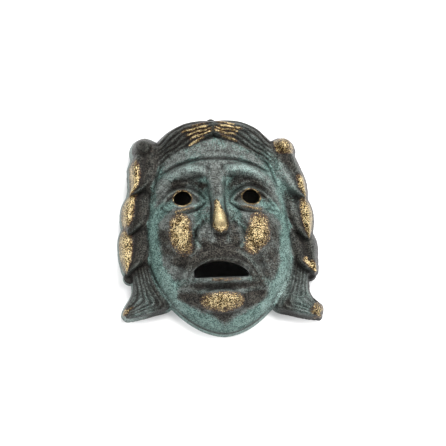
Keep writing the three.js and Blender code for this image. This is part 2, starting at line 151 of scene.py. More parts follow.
def quarter_round(distance: Array, width: float) -> Array:
    """Rise from 0 to 1 over a width as a quarter of a circle."""
    rest = 1.0 - np.clip(distance / width, 0.0, 1.0)
    return np.sqrt(1.0 - rest * rest)


def oval_reach(angle: Array, half_width: Array | float, rise: Array, power: Array) -> Array:
    """Distance from the middle of a squared oval to its edge.

    Args:
        angle: The directions.
        half_width: Half the width of the oval.
        rise: How far it reaches up or down.
        power: How square it is, 2 for a plain oval.

    Returns:
        The distances.
    """
    across, up = np.abs(np.cos(angle)) / half_width, np.abs(np.sin(angle)) / rise
    return (across**power + up**power) ** (-1.0 / power)


def blurred(values: Array, cells: float) -> Array:
    """Blur a field of values.

    Args:
        values: The field.
        cells: Blur radius in cells.

    Returns:
        The blurred field, of the same shape.
    """
    reach = max(int(math.ceil(cells * BLUR_REACH)), 1)
    offsets = np.arange(-reach, reach + 1)
    weights = np.exp(-0.5 * (offsets / cells) ** 2)
    weights /= weights.sum()
    result = values
    for _ in ("down the rows", "along the columns"):
        padded = np.pad(result, ((reach, reach), (0, 0)), mode="edge")
        spread = np.zeros_like(result)
        for start, weight in enumerate(weights):
            spread += weight * padded[start : start + len(result)]
        result = spread.T
    return result


def neighbour_extreme(values: Array, pick: Callable[[Array, Array], Array], corners: bool) -> Array:
    """Take the highest or lowest value of each cell and its neighbours.

    Args:
        values: The field.
        pick: np.maximum or np.minimum.
        corners: Whether neighbours over a corner count.

    Returns:
        The field of extremes.
    """
    padded = np.pad(values, 1, mode="edge")
    rows = pick(pick(padded[:-2, 1:-1], padded[2:, 1:-1]), values)
    columns = pick(pick(padded[1:-1, :-2], padded[1:-1, 2:]), values)
    result = pick(rows, columns)
    if corners:
        upper = pick(padded[:-2, :-2], padded[:-2, 2:])
        result = pick(result, pick(upper, pick(padded[2:, :-2], padded[2:, 2:])))
    return result


def value_noise(across: Array, up: Array, size: float, seed: int) -> Array:
    """Smooth random values between 0 and 1 over the plane.

    Args:
        across: X of each place.
        up: Y of each place.
        size: Distance between the random values.
        seed: Which random values.

    Returns:
        One value for each place.
    """
    table = np.random.default_rng(seed).random((NOISE_CELLS, NOISE_CELLS))
    grid_x, grid_y = across / size + NOISE_CELLS / 2, up / size + NOISE_CELLS / 2
    column, row = np.floor(grid_x).astype(int), np.floor(grid_y).astype(int)
    part_x, part_y = smooth_step(0.0, 1.0, grid_x - column), smooth_step(0.0, 1.0, grid_y - row)
    left, right = column % NOISE_CELLS, (column + 1) % NOISE_CELLS

    def on_line(line: Array) -> Array:
        """Blend the two values beside each place on a line of the table."""
        return table[line % NOISE_CELLS, left] * (1 - part_x) + table[line % NOISE_CELLS, right] * part_x

    return on_line(row) * (1 - part_y) + on_line(row + 1) * part_y


# Forms of the relief


@dataclass(frozen=True)
class Mound:
    """Oval swelling of the face, or a hollow where its lift is below zero."""

    centre: Place
    half_size: Place
    lift: float
    power: float = 1.0
    sides: Sides = Sides.BOTH

    def height(self, across: Array, up: Array) -> Array:
        """Height that the mound adds at each place.

        Args:
            across: X from the midline.
            up: Y of each place.

        Returns:
            The added heights.
        """
        side = across if self.sides is Sides.ONCE else np.abs(across)
        beside = (side - self.centre[0]) / self.half_size[0]
        over = (up - self.centre[1]) / self.half_size[1]
        return self.lift * np.clip(1.0 - beside**2 - over**2, 0.0, 1.0) ** self.power


@dataclass(frozen=True)
class Ridge:
    """Ridge along a line on the face, or a furrow where its lift is below zero."""

    points: Points
    half_width: tuple[float, ...]
    lift: tuple[float, ...]
    power: float = 1.0
    sides: Sides = Sides.BOTH
    steps: int = 28

    def height(self, across: Array, up: Array) -> Array:
        """Height that the ridge adds at each place.

        Args:
            across: X from the midline.
            up: Y of each place.

        Returns:
            The added heights.
        """
        side = across if self.sides is Sides.ONCE else np.abs(across)
        line = smooth_line(self.points, self.steps)
        reach = max(self.half_width)
        near = (side > line[:, 0].min() - reach) & (side < line[:, 0].max() + reach)
        near &= (up > line[:, 1].min() - reach) & (up < line[:, 1].max() + reach)
        distance, place = distance_to_line(line, side[near], up[near])
        rest = 1.0 - (distance / setting(self.half_width, place)) ** 2
        added = np.zeros_like(side)
        added[near] = setting(self.lift, place) * np.clip(rest, 0.0, 1.0) ** self.power
        return added


def distance_to_line(line: Array, across: Array, up: Array) -> tuple[Array, Array]:
    """Distance of each place from a line, and how far along the line it is nearest.

    Args:
        line: Corners of the line.
        across: X of each place.
        up: Y of each place.

    Returns:
        The distances, and the places along the line from 0 to 1.
    """
    nearest = np.full(across.shape, np.inf)
    place = np.zeros(across.shape)
    spans = len(line) - 1
    for step in range(spans):
        start, run = line[step], line[step + 1] - line[step]
        part = ((across - start[0]) * run[0] + (up - start[1]) * run[1]) / (run @ run)
        part = np.clip(part, 0.0, 1.0)
        distance = np.hypot(across - start[0] - part * run[0], up - start[1] - part * run[1])
        closer = distance < nearest
        nearest = np.where(closer, distance, nearest)
        place = np.where(closer, (step + part) / spans, place)
    return nearest, place


@dataclass(frozen=True)
class Section:
    """Section of a lock of hair.

    Root and tip give the heights of the outer edge, the crown and the inner edge there. The two rounded
    edges are as wide as the given shares of the lock's width.
    """

    root: Triple
    tip: Triple
    outer_round: float
    inner_round: float
    strands: int
    groove: float
    wave: float
    fine_strands: int
    fine_groove: float


@dataclass(frozen=True)
class Lock:
    """Lock of hair that runs from its root to its tip between an outer and an inner edge.

    Bare says where the metal is rubbed bare: its first and last place along the lock, then across it.
    Each wave of the strands is given by its radians along the lock and across it.
    """

    outer: Points
    inner: Points
    section: Section
    bare: tuple[float, float, float, float]
    steps: int = 44
    slow_wave: Place = (14.0, 5.0)
    quick_wave: Place = (29.0, -9.0)
    quick_share: float = 0.6
    fine_wave: Place = (19.0, 7.0)
    fine_swing: float = 0.02
    fine_shade: float = 0.62
    narrow_power: int = 4
    side_lock_strands: int = 2
    wear: float = 1.15
    uneven_wear: float = 0.3
    strand_turn: float = 2.4
    crest_wear: float = 1.9
    furrow_loss: float = 2.6

    @property
    def is_broad(self) -> bool:
        """Whether the lock has more strands than a side lock."""
        return self.section.strands > self.side_lock_strands

    def locate(self, across: Array, up: Array) -> tuple[Array, Array]:
        """Find the place of each point along the lock and across it.

        Args:
            across: X of each point.
            up: Y of each point.

        Returns:
            Places from 0 to 1 along and across, not a number beside the lock.
        """
        outer, inner = smooth_line(self.outer, self.steps), smooth_line(self.inner, self.steps)
        low = np.minimum(outer.min(axis=0), inner.min(axis=0))
        high = np.maximum(outer.max(axis=0), inner.max(axis=0))
        near = (across >= low[0]) & (across <= high[0]) & (up >= low[1]) & (up <= high[1])
        x, y = across[near], up[near]
        found_along, found_across = np.full(x.shape, np.nan), np.full(x.shape, np.nan)

        def side(step: int) -> Array:
            """Side of a cross line that each point is on."""
            run = inner[step] - outer[step]
            return (x - outer[step, 0]) * run[1] - (y - outer[step, 1]) * run[0]

        before = side(0)
        for step in range(self.steps):
            after = side(step + 1)
            between = (before * after <= 0) & (before != after)
            part = before / np.where(between, before - after, 1.0)
            start = outer[step] + part[:, None] * (outer[step + 1] - outer[step])
            run = inner[step] + part[:, None] * (inner[step + 1] - inner[step]) - start
            ratio = ((x - start[:, 0]) * run[:, 0] + (y - start[:, 1]) * run[:, 1]) / (run**2).sum(axis=1)
            inside = between & (ratio >= 0.0) & (ratio <= 1.0)
            found_along = np.where(inside, (step + part) / self.steps, found_along)
            found_across = np.where(inside, ratio, found_across)
            before = after
        along, over = np.full(across.shape, np.nan), np.full(across.shape, np.nan)
        along[near], over[near] = found_along, found_across
        return along, over

    def furrow(self, along: Array, across: Array) -> Array:
        """How deep in the grooves between strands each place is, from 0 on a strand to 1."""
        return np.sin(math.pi * self._rows(along, across)) ** 2

    def fine_furrow(self, along: Array, across: Array) -> Array:
        """How deep between the fine hairs of the lock each place is, from 0 to 1."""
        swing = self.fine_swing * self._wave(self.fine_wave, along, across)
        return np.sin(math.pi * self.section.fine_strands * (across + swing)) ** 2

    def shade(self, along: Array, across: Array) -> Array:
        """How dark each place is for its grooves, which are drawn narrower on a side lock."""
        deep = self.furrow(along, across) ** (1 if self.is_broad else self.narrow_power)
        return np.maximum(deep, self.fine_shade * self.fine_furrow(along, across))

    @staticmethod
    def _wave(radians: Place, along: Array, across: Array) -> Array:
        """Sideways swing of a wave at each place, from -1 to 1."""
        return np.sin(radians[0] * along + radians[1] * across)

    def _rows(self, along: Array, across: Array) -> Array:
        """Count the strands from the outer edge.

        Args:
            along: Places along the lock.
            across: Places across it.

        Returns:
            A count that grows by one from crest to crest and wanders along the lock.
        """
        slow, quick = (self._wave(wave, along, across) for wave in (self.slow_wave, self.quick_wave))
        swing = self.section.wave * (slow + self.quick_share * quick)
        return 0.5 + (across + swing * np.sin(math.pi * np.clip(across, 0.0, 1.0))) * self.section.strands

    def height(self, along: Array, across: Array) -> Array:
        """Height of the lock.

        Args:
            along: Places along the lock.
            across: Places across it.

        Returns:
            The heights over the rim.
        """
        section = self.section
        outer, crown, inner = (start + (end - start) * along for start, end in zip(section.root, section.tip))
        rise = (crown - outer) * quarter_round(across, section.outer_round)
        fall = (crown - inner) * (1.0 - quarter_round(1.0 - across, section.inner_round))
        coarse, fine = self.furrow(along, across), self.fine_furrow(along, across)
        return outer + rise - fall - (section.groove * coarse + section.fine_groove * fine)

    def bareness(self, along: Array, across: Array) -> Array:
        """How far the lock is rubbed bare, most on the crests of a broad lock.

        Args:
            along: Places along the lock.
            across: Places across it.

        Returns:
            The strength of the wear.
        """
        start, end, outer, inner = self.bare
        middle, reach = 0.5 * (start + end), 0.5 * (end - start)
        centre, width = 0.5 * (outer + inner), 0.5 * (inner - outer)
        uneven = self.uneven_wear * np.sin(self.strand_turn * np.round(self._rows(along, across))) * reach
        rest = 1.0 - np.abs((along - middle - uneven) / reach) ** 3 - np.abs((across - centre) / width) ** 3
        crest: Array | float = 1.0
        if self.is_broad:
            crest = self.crest_wear - self.furrow_loss * smooth_step(0.1, 0.55, self.furrow(along, across))
        return self.wear * np.clip(rest * 1.4, 0.0, 1.0) * crest


@dataclass(frozen=True)
class Curl:
    """Round curl or small flap, with a dome from its waist to its top."""

    centre: Place
    radius: float
    waist: float
    top: float
    bare: float
    twist: float = 9.0
    groove: float = 0.5

    def height(self, across: Array, up: Array) -> Array:
        """Height of the curl.

        Args:
            across: X of each place.
            up: Y of each place.

        Returns:
            The heights over the rim, not a number beside the curl.
        """
        rest = 1.0 - ((across - self.centre[0]) ** 2 + (up - self.centre[1]) ** 2) / self.radius**2
        dome = self.waist + (self.top - self.waist) * np.sqrt(np.clip(rest, 0.0, 1.0))
        return np.where(rest > 0.0, dome - self.groove * self.furrow(across, up), np.nan)

    def furrow(self, across: Array, up: Array) -> Array:
        """How deep in the curl's spiral groove each place is, from 0.3 to 0.8.

        Args:
            across: X of each place.
            up: Y of each place.

        Returns:
            The depths.
        """
        right, over = across - self.centre[0], up - self.centre[1]
        turn = np.arctan2(over, right) + self.twist * np.hypot(right, over) / self.radius
        return 0.3 + 0.5 * np.sin(turn) ** 2


# Values for the face and the hair


@dataclass(frozen=True)
class FaceSizes:
    """Driving sizes of the face."""

    half_width: float = 47.0
    jaw_half_width: float = 48.5
    jaw_y: float = -35.0
    centre_y: float = -8.0
    chin_drop: float = 61.0
    brow_rise: float = 84.0
    top: float = 70.0
    edge_height: float = 8.0
    chin_edge_height: float = 4.0
    chin_edge_from: float = 34.0
    chin_edge_to: float = 56.0
    dome_rise: float = 25.0
    chin_squareness: float = 1.8
    brow_squareness: float = 2.0
    temple_squareness: float = 2.4
    lean: float = -0.04
    chin_line_depth: float = 0.5
    chin_line_place: float = 0.93
    chin_line_half_width: float = 0.022
    chin_line_from_y: float = -30.0
    chin_line_to_y: float = -45.0


EYE_PLACE = (21.5, 15.3)
EYE_HALF_SIZE = (5.5, 5.1)
UPPER_LIP_LINE = ((0, -23.4), (8, -24.4), (15.2, -28), (19.6, -33), (21, -38))

FACE_FORMS: tuple[Mound | Ridge, ...] = (
    # Nose: its broad foot, its bridge with the tip, and its wings
    Ridge(((0, 33), (0, 15), (0, -6)), (9, 11, 15), (0, 2.5, 3.5), 1.3, Sides.ONCE),
    Ridge(
        ((0, 34), (0, 14), (0.4, -4.6)),
        (5, 5.2, 5.2, 5, 4.6, 4.1, 4.2, 4.8, 5.2, 5.0),
        (0, 0.4, 1.1, 2.2, 3.6, 5.4, 7.2, 8.4, 8.3, 4.6),
        0.8,
        Sides.ONCE,
    ),
    Mound((8.4, -8.0), (6.2, 7.4), 2.1, 1.0),
    Ridge(
        ((6.5, 2), (11, -1.5), (14.2, -6), (14.6, -11), (11.4, -15.5)),
        (1.2, 1.4, 1.5, 1.4, 1.1),
        (-0.3, -1.0, -1.3, -1.0, -0.3),
    ),
    # Swelling around the mouth, then the chin and its boss
    Mound((0, -27), (27, 17), 2.6, 1.0, Sides.ONCE),
    Mound((0, -49), (27, 17), 3.0, 1.2, Sides.ONCE),
    Mound((-1.2, -49.3), (15, 7.6), 5.0, 0.7, Sides.ONCE),
    # Brow ridge, the frown lines between the brows and the furrows of the forehead
    Ridge(
        ((5, 31.2), (10, 33.2), (18, 32.8), (28, 29.2), (38, 22.2)),
        (3, 4.4, 4.8, 4.6, 3),
        (1.6, 3.4, 3.6, 2.6, 0.6),
        1.2,
    ),
    Ridge(((4.2, 38), (5.4, 31), (5.6, 23)), (1.3, 1.6, 1.3), (-0.4, -0.8, -0.4)),
    Ridge(((0, 40.8), (13, 40), (24, 37.2), (34, 32.8)), (1.5, 1.5, 1.4, 1.2), (-1.5, -1.8, -1.7, -1.0)),
    Ridge(((0, 46), (11, 45), (20, 42.2)), (1.6, 1.6, 1.2), (-0.5, -0.5, -0.2)),
    # Eye socket, eyeball and lids
    Mound((20, 21.5), (17, 11.5), -5.8, 1.2),
    Mound((10.5, 19), (8, 13), -3.4, 1.2),
    Mound((22, 14.5), (14, 9), 4.4, 0.8),
    Ridge(
        ((8.5, 13.0), (14.5, 19.6), (21.7, 21.8), (28.4, 18.8), (34.4, 12.6), (41, 5.6)),
        (1.1, 1.4, 1.5, 1.5, 1.4, 1.1),
        (0.8, 1.7, 1.9, 1.7, 1.4, 0.6),
    ),
    Ridge(((16, 24.5), (23, 26), (31, 22.6), (38, 15.5)), (1.1, 1.3, 1.3, 1.1), (0.5, 1.0, 1.0, 0.4)),
    Ridge(((24, 19.8), (30, 16), (37, 9.2)), (1.0, 1.6, 1.1), (-0.3, -1.6, -0.7)),
    Ridge(((8, 11.2), (13.5, 7.4), (20, 4.8)), (0.9, 1.1, 0.8), (-0.4, -0.9, -0.3)),
    Ridge(
        ((8.5, 13.0), (14, 9.8), (21.5, 7.4), (30, 6.0), (40, 5.0)),
        (1.1, 1.3, 1.4, 1.3, 1),
        (0.6, 1.1, 1.2, 1.0, 0.5),
    ),
    # Cheek, and the fold between the cheek and the mouth
    Mound((24, -7), (15, 20), 5.4, 1.2),
    Ridge(
        ((12, 4), (16.5, -6), (18, -15), (24, -25), (29, -36)),
        (2.4, 2.8, 3.0, 3, 2.4),
        (-0.8, -2.0, -2.4, -2, -0.6),
    ),
    # Upper lip, the ridge outside it, the lower lip, the crease under it and the hollows beside the chin
    Ridge(UPPER_LIP_LINE, (1.5, 1.5, 1.5, 1.5, 1.2), (1.2, 1.2, 1.1, 0.9, 0.3)),
    Ridge(
        ((4, -17.5), (10, -20), (16, -24.2), (22, -30), (26, -37.5)),
        (1.6, 2.0, 2.2, 2.2, 1.6),
        (0.3, 0.7, 0.8, 0.8, 0.3),
    ),
    Ridge(((0, -36.6), (9, -36.6), (16, -35.4)), (1.9, 1.9, 1.5), (1.8, 1.8, 1)),
    Ridge(((0, -40.6), (10, -40.6), (20, -39)), (2.4, 2.4, 1.8), (-1.6, -1.6, -0.8)),
    Ridge(((13, -45), (20, -43.5), (27, -44.5)), (2.2, 3.4, 2.0), (-0.5, -1.4, -0.4)),
)

BARE_PATCHES: tuple[Ridge, ...] = (
    # Cheeks, nose, chin boss, lower lids and the lower lip
    Ridge(
        ((-24.0, -1.2), (-24.3, -9), (-22.6, -15.8)),
        (7.6, 8.0, 6.2),
        (1.1, 1.35, 0.85),
        0.8,
        Sides.ONCE,
    ),
    Ridge(((24.8, -1.2), (23.6, -9), (19.8, -15.6)), (7.2, 8.6, 6.6), (1.0, 1.25, 0.85), 0.8, Sides.ONCE),
    Ridge(
        ((-0.9, 11.5), (-0.4, 7), (0.4, 2), (0.7, -2.6)),
        (1.4, 2.6, 4.6, 5.2),
        (1.1, 1.5, 1.9, 1.9),
        0.55,
        Sides.ONCE,
    ),
    Ridge(
        ((-10.2, -49), (-1.5, -49.6), (7.4, -49)),
        (5.6, 7.0, 5.8),
        (0.9, 1.15, 0.95),
        0.75,
        Sides.ONCE,
    ),
    Ridge(((15, 8.8), (21, 7.6), (27, 6.6)), (0.9, 1.0, 0.9), (0.5, 0.8, 0.6), 0.5),
    Ridge(((-6.5, -36.2), (1, -36.4), (10, -36.2)), (1.1, 1.3, 1.0), (0.45, 0.6, 0.4), 0.5, Sides.ONCE),
)

DARK_AND_SHADE_PATCHES: tuple[Ridge, ...] = (
    # Painted shade in the sockets under the brows, around the eyes and under and beside the nose; darker
    # between the brows; painted shade on the left temple, away from the light
    Ridge(
        ((8, 22.5), (15, 26.2), (26, 24.8), (36, 17.5)),
        (3.6, 3.8, 3.8, 2.6),
        (0.7, 0.9, 0.85, 0.5),
        0.8,
    ),
    Ridge(((13, 15), (22, 19.5), (32, 14)), (4.0, 5.5, 4.0), (0.8, 1.0, 0.7), 0.7),
    Ridge(((0, -8.5), (0, -16)), (5.5, 3.5), (1.0, 0.7), 0.7, Sides.ONCE),
    Ridge(((0, 38), (0, 28), (0, 16)), (5, 4.5, 4), (0.3, 0.7, 0.5), 0.7, Sides.ONCE),
    Ridge(((7, 20), (8, 8), (10, -6), (9, -14)), (3, 4, 6, 4), (0.3, 0.4, 0.75, 0.7), 0.6),
    Ridge(((-36, 33), (-41, 22), (-43, 10)), (4, 5, 4), (0.3, 0.45, 0.3), 0.7, Sides.ONCE),
    # Dark patina on the cheeks around the worn places, and painted shade in the creases beside the nose
    Ridge(
        ((22, 3), (31, 1), (34.5, -9), (31, -19), (23, -25)),
        (5, 6, 5, 6, 6),
        (0.2, 0.45, 0.65, 0.9, 0.9),
        0.7,
    ),
    Ridge(((12, 2), (16, -8), (17, -18)), (2.6, 3.0, 4.0), (0.5, 0.8, 0.9), 0.8),
    # Dark patina on both lips, darker on the lower right cheek, and painted shade in the crease over the chin
    # and on the chin beside and under its boss
    Ridge(
        ((0, -17), (9, -20), (18, -26), (24.5, -33), (25, -39)),
        (5.5, 5.0, 5.5, 5.0, 4.0),
        (0.9, 1.0, 0.9, 0.8, 0.7),
        0.6,
    ),
    Ridge(UPPER_LIP_LINE, (3.0, 3.0, 3.0, 3.0, 2.5), (1.1, 1.1, 1.0, 0.9, 0.6), 0.5),
    Ridge(((0, -36.2), (9, -36.2), (16, -35)), (1.8, 1.8, 1.6), (0.55, 0.55, 0.6), 0.6),
    Ridge(((0, -40), (11, -40), (20, -39)), (3.0, 3.0, 3.6), (0.9, 0.9, 0.8), 0.7),
    Ridge(((31, -14), (32, -25), (29, -36)), (5, 6.5, 5), (0.8, 1.25, 0.8), 0.6, Sides.ONCE),
    Ridge(((13, -49.5), (19, -47), (27, -45)), (5.5, 4.8, 3.0), (1.0, 1.1, 0.9), 0.6),
    Ridge(((0, -54), (0, -63)), (11, 3.5), (1.0, 0.8), 0.6, Sides.ONCE),
)

GREEN_PATCHES: tuple[Ridge, ...] = (
    # Temples and jaw along the hair, and the chin along the rim
    Ridge(
        ((36, 40), (43, 26), (45, 8), (44.5, -12), (43, -28), (37, -44)),
        (5, 6, 7, 8, 8, 9),
        (0.4, 0.6, 0.75, 0.9, 1.1, 1.2),
        0.6,
    ),
    Ridge(((37, -44), (28, -54), (15, -61.5), (0, -66)), (8, 6.5, 6, 5), (1.2, 1.1, 0.9, 0.7), 0.6),
    # Beside the nose, around its wings, and at the outer corners of the eyes and of the mouth
    Ridge(((7.5, 26), (9, 12), (12, 2)), (4, 4.5, 4), (0.4, 0.5, 0.5), 0.8),
    Ridge(((8, 3), (13.5, -3), (16.4, -9), (15, -15)), (1.8, 2.2, 2.2, 2.0), (0.3, 0.5, 0.6, 0.4), 0.8),
    Ridge(((28, 12), (35, 9), (41, 3)), (4, 5, 5), (0.7, 0.9, 0.8), 0.8),
    Ridge(((16, -36), (24, -36), (30, -38)), (2.5, 3.5, 4), (0.3, 0.6, 0.7), 0.8),
)

LIGHT_HAIR: tuple[Ridge, ...] = (
    # Both tails lighter and greener; the first lock and the band at the right lighter and greener, with
    # painted light from the right
    Ridge(
        ((37, 42), (42, 33), (47, 23), (50, 14), (53, 4)),
        (5, 7, 7, 6, 5),
        (0.8, 1.1, 1.1, 0.9, 0.6),
        0.6,
        Sides.ONCE,
    ),
    Ridge(((12, 61), (24, 53), (36, 44)), (6, 7, 6), (0.6, 0.95, 0.7), 0.6, Sides.ONCE),
    Ridge(((50, -32), (49, -45), (52, -56)), (8, 11, 10), (0.5, 1.1, 1.2), 0.6),
)

PALE_AND_HIGHLIGHT_PATCHES: tuple[Ridge, ...] = (
    # Both sides of the jaw, paler patina with painted light; painted light on the first lock and tail at the
    # right, on both brows, and on the nose and temple at the right
    Ridge(
        ((43, -13), (42, -29), (36, -42), (29, -53)),
        (4, 5, 7.5, 6.5),
        (1.0, 1.7, 2.4, 1.9),
        0.6,
        Sides.ONCE,
    ),
    Ridge(((-37, -30), (-35, -42), (-28, -52)), (4.5, 6, 5), (0.75, 1.2, 0.95), 0.6, Sides.ONCE),
    Ridge(((38, 40), (44, 31), (49, 21)), (4, 5.5, 4), (0.5, 0.9, 0.6), 0.7, Sides.ONCE),
    Ridge(((52, -32), (50, -45), (52, -55)), (5, 9, 7), (0.3, 0.6, 0.5), 0.7, Sides.ONCE),
    Ridge(((8, 34), (18, 33.6), (29, 29.4)), (3, 3.6, 3), (1.1, 1.7, 1.1), 0.8),
    Ridge(((6, 18), (9.5, 9), (13.5, -1)), (2.6, 3.0, 2.4), (0.4, 0.6, 0.4), 0.8, Sides.ONCE),
    Ridge(((36, 30), (40.5, 21), (43, 11)), (4, 5, 4), (0.6, 0.9, 0.6), 0.7, Sides.ONCE),
    # Painted highlight along the upper lip, wider at the right
    Ridge(
        ((9.5, -18.4), (15, -21.8), (20, -27), (23.5, -33)),
        (1.1, 1.4, 1.4, 1.1),
        (0.7, 1.4, 1.4, 0.8),
        0.7,
        Sides.ONCE,
    ),
    Ridge(((-16, -30), (-12.5, -26.2), (-6.5, -24)), (0.9, 0.9, 0.8), (0.8, 1.2, 0.8), 0.7, Sides.ONCE),
)

BAND = Section(
    root=(13, 30.5, 25.5),
    tip=(11, 19, 15),
    outer_round=0.5,
    inner_round=0.2,
    strands=6,
    groove=1.6,
    wave=0.035,
    fine_strands=17,
    fine_groove=0.15,
)
FIRST_LOCK = Section(
    root=(7, 21.5, 17),
    tip=(7, 21.5, 18.5),
    outer_round=0.26,
    inner_round=0.16,
    strands=2,
    groove=1.4,
    wave=0.01,
    fine_strands=12,
    fine_groove=0.3,
)
SECOND_LOCK = replace(FIRST_LOCK, root=(7, 15.5, 12.5), tip=(7, 20, 17))
THIRD_LOCK = replace(FIRST_LOCK, root=(7, 14.5, 11.5), tip=(7, 18.5, 15.5))
TAIL = Section(
    root=(5, 13.5, 8),
    tip=(4, 11, 3.2),
    outer_round=0.24,
    inner_round=0.2,
    strands=6,
    groove=1.3,
    wave=0.012,
    fine_strands=18,
    fine_groove=0.2,
)

LOCKS: tuple[Lock, ...] = (
    Lock(
        ((-1, 67), (-9, 67.8), (-19, 66.8), (-28, 62.6), (-34.8, 56.8), (-40.2, 50), (-44, 43)),
        ((-2, 56), (-8, 53), (-14.5, 49.4), (-21, 45.4), (-27.5, 41.8), (-33.5, 38.6), (-39, 35)),
        BAND,
        bare=(0.03, 0.40, 0.2, 1.0),
    ),
    Lock(
        ((-1, 67), (7.5, 67.8), (16.8, 67), (25.8, 63.3), (32.8, 57.2), (38.2, 50.3), (42.5, 43)),
        ((-2, 57), (4.5, 53.8), (12, 51), (18.8, 46), (26.2, 41.4), (33, 37.6), (38, 34)),
        BAND,
        bare=(0.03, 0.36, 0.15, 1.0),
    ),
    Lock(
        ((-52.2, 46), (-55.0, 40), (-55.2, 33), (-54.9, 26.5), (-55.6, 22.5), (-56.0, 19.5)),
        ((-37.5, 46), (-36.8, 38), (-38, 32), (-42.5, 26), (-49, 21.8), (-55.4, 19.2)),
        FIRST_LOCK,
        bare=(-0.04, 1.16, -0.3, 0.46),
    ),
    Lock(
        ((-55, 23), (-59.4, 16), (-61, 9.5), (-60.6, 3.5), (-59, -1.5), (-57.2, -5)),
        ((-40, 27), (-41, 18), (-41, 10.5), (-44, 4), (-50.5, -1.5), (-56.4, -5.3)),
        SECOND_LOCK,
        bare=(-0.3, 0.7, -0.3, 0.44),
    ),
    Lock(
        ((-59.5, 2.5), (-62.5, -5.5), (-62.9, -12), (-62.2, -19.5), (-60.5, -25.5), (-58.8, -29)),
        ((-42, 4), (-42, -7), (-43, -15.5), (-47, -22), (-53, -26.5), (-57.6, -29.4)),
        THIRD_LOCK,
        bare=(-0.08, 1.08, -0.3, 0.48),
    ),
    Lock(
        ((51, 44), (54.4, 36), (56.8, 29.5), (57.4, 23.5), (57.3, 18.5), (56.6, 15.5)),
        ((36, 44), (36.5, 33), (40.5, 27), (45.5, 21.5), (51.5, 17.3), (55.5, 15.2)),
        FIRST_LOCK,
        bare=(0.2, 1.2, -0.1, 0.48),
    ),
    Lock(
        ((56.2, 19.5), (59.9, 12.5), (61.3, 5.5), (60.6, -1), (59.2, -7), (57.7, -11)),
        ((40.5, 22), (42, 13), (43.5, 6), (47.5, -2.5), (53, -8.5), (56.9, -11.3)),
        SECOND_LOCK,
        bare=(-0.05, 1.08, -0.1, 0.5),
    ),
    Lock(
        ((58, -3), (61.8, -8.5), (63.1, -14), (62.8, -20.5), (62.5, -26.5), (61.8, -32)),
        ((43.5, -4), (44.5, -14), (46, -20), (49.5, -25), (54, -29), (60.8, -32.4)),
        THIRD_LOCK,
        bare=(0.6, 1.15, 0.1, 0.8),
    ),
    Lock(
        ((-56, -24), (-55.2, -34), (-55, -40), (-56.8, -44.5), (-59.2, -48), (-60.8, -51), (-61.6, -54)),
        ((-45.5, -21), (-42, -33), (-38, -41.5), (-32, -50.6), (-41, -53.8), (-51.5, -56.4), (-59.2, -57.2)),
        TAIL,
        bare=(0.74, 1.2, -0.3, 0.5),
    ),
    Lock(
        ((58, -25), (56.9, -35.5), (56.9, -42), (58.8, -46.5), (61.2, -50), (63.4, -52.5), (65, -55.3)),
        ((47.5, -21.5), (44.4, -33), (40.5, -42.6), (35, -52.8), (45, -56.6), (55.5, -59.2), (63.4, -60)),
        TAIL,
        bare=(0.86, 1.2, -0.2, 1.2),
    ),
)

CURLS: tuple[Curl, ...] = (
    Curl((-45.8, 50.4), 7.8, 5, 25.5, 0.12),
    Curl((43.5, 49.1), 7.2, 5, 25.5, 0.85),
    Curl((-57, -31), 3.8, 3.5, 6.4, 0.0),
    Curl((58.8, -31.8), 3.6, 3.5, 6.4, 0.0),
    Curl((60.4, -55), 5.2, 3, 13, 0.75),
)


# The relief as a whole


@dataclass
class Face:
    """The face: a dome with its features."""

    sizes: FaceSizes = field(default_factory=FaceSizes)
    forms: tuple[Mound | Ridge, ...] = FACE_FORMS

    def half_width_at(self, up: Array) -> Array:
        """Half the width of the face, which grows from the temples to the jaw."""
        part = smooth_step(-self.sizes.centre_y, -self.sizes.jaw_y, -up)
        return self.sizes.half_width + (self.sizes.jaw_half_width - self.sizes.half_width) * part

    def edge_height_at(self, up: Array) -> Array:
        """Height of the face's edge over the rim, which is low under the chin."""
        part = smooth_step(self.sizes.chin_edge_from, self.sizes.chin_edge_to, -up)
        return self.sizes.edge_height + (self.sizes.chin_edge_height - self.sizes.edge_height) * part

    def filled(self, x: Array, y: Array) -> Array:
        """How far each place is towards the edge of the dome, 1 at the edge.

        Args:
            x: X of each place.
            y: Y of each place.

        Returns:
            The share of the way.
        """
        up = y - self.sizes.centre_y
        power = np.where(up < 0, self.sizes.chin_squareness, self.sizes.brow_squareness)
        reach = np.where(up < 0, self.sizes.chin_drop, self.sizes.brow_rise)
        across = np.abs(x - self.sizes.lean * y) / self.half_width_at(y)
        return across**power + (np.abs(up) / reach) ** power

    def height(self, x: Array, y: Array) -> Array:
        """Height of the face over the rim.

        Args:
            x: X of each place.
            y: Y of each place.

        Returns:
            The heights.
        """
        sizes = self.sizes
        level = self.filled(x, y)
        total = self.edge_height_at(y) + sizes.dome_rise * np.sqrt(np.clip(1.0 - level, 0.0, 1.0))
        across = x - sizes.lean * y
        for form in self.forms:
            total = total + form.height(across, y)
        beside = (level - sizes.chin_line_place) / sizes.chin_line_half_width
        chin_line = np.clip(1.0 - beside**2, 0.0, 1.0)
        chin_line = chin_line * smooth_step(sizes.chin_line_from_y, sizes.chin_line_to_y, y)
        return total - sizes.chin_line_depth * chin_line

    def reach(self, angle: Array) -> Array:
        """Distance from the face's centre to its edge.

        Args:
            angle: The directions.

        Returns:
            The distances.
        """
        sizes = self.sizes
        lower = np.sin(angle) < 0
        half_width = self.half_width_at(sizes.centre_y + np.sin(angle) * sizes.half_width)
        power = np.where(lower, sizes.chin_squareness, sizes.temple_squareness)
        return oval_reach(angle, half_width, np.where(lower, sizes.chin_drop, sizes.top), power)

    def covers(self, x: Array, y: Array) -> Array:
        """Whether each place is on the face."""
        across, up = x - self.sizes.lean * y, y - self.sizes.centre_y
        return np.hypot(across, up) <= self.reach(np.arctan2(up, across))


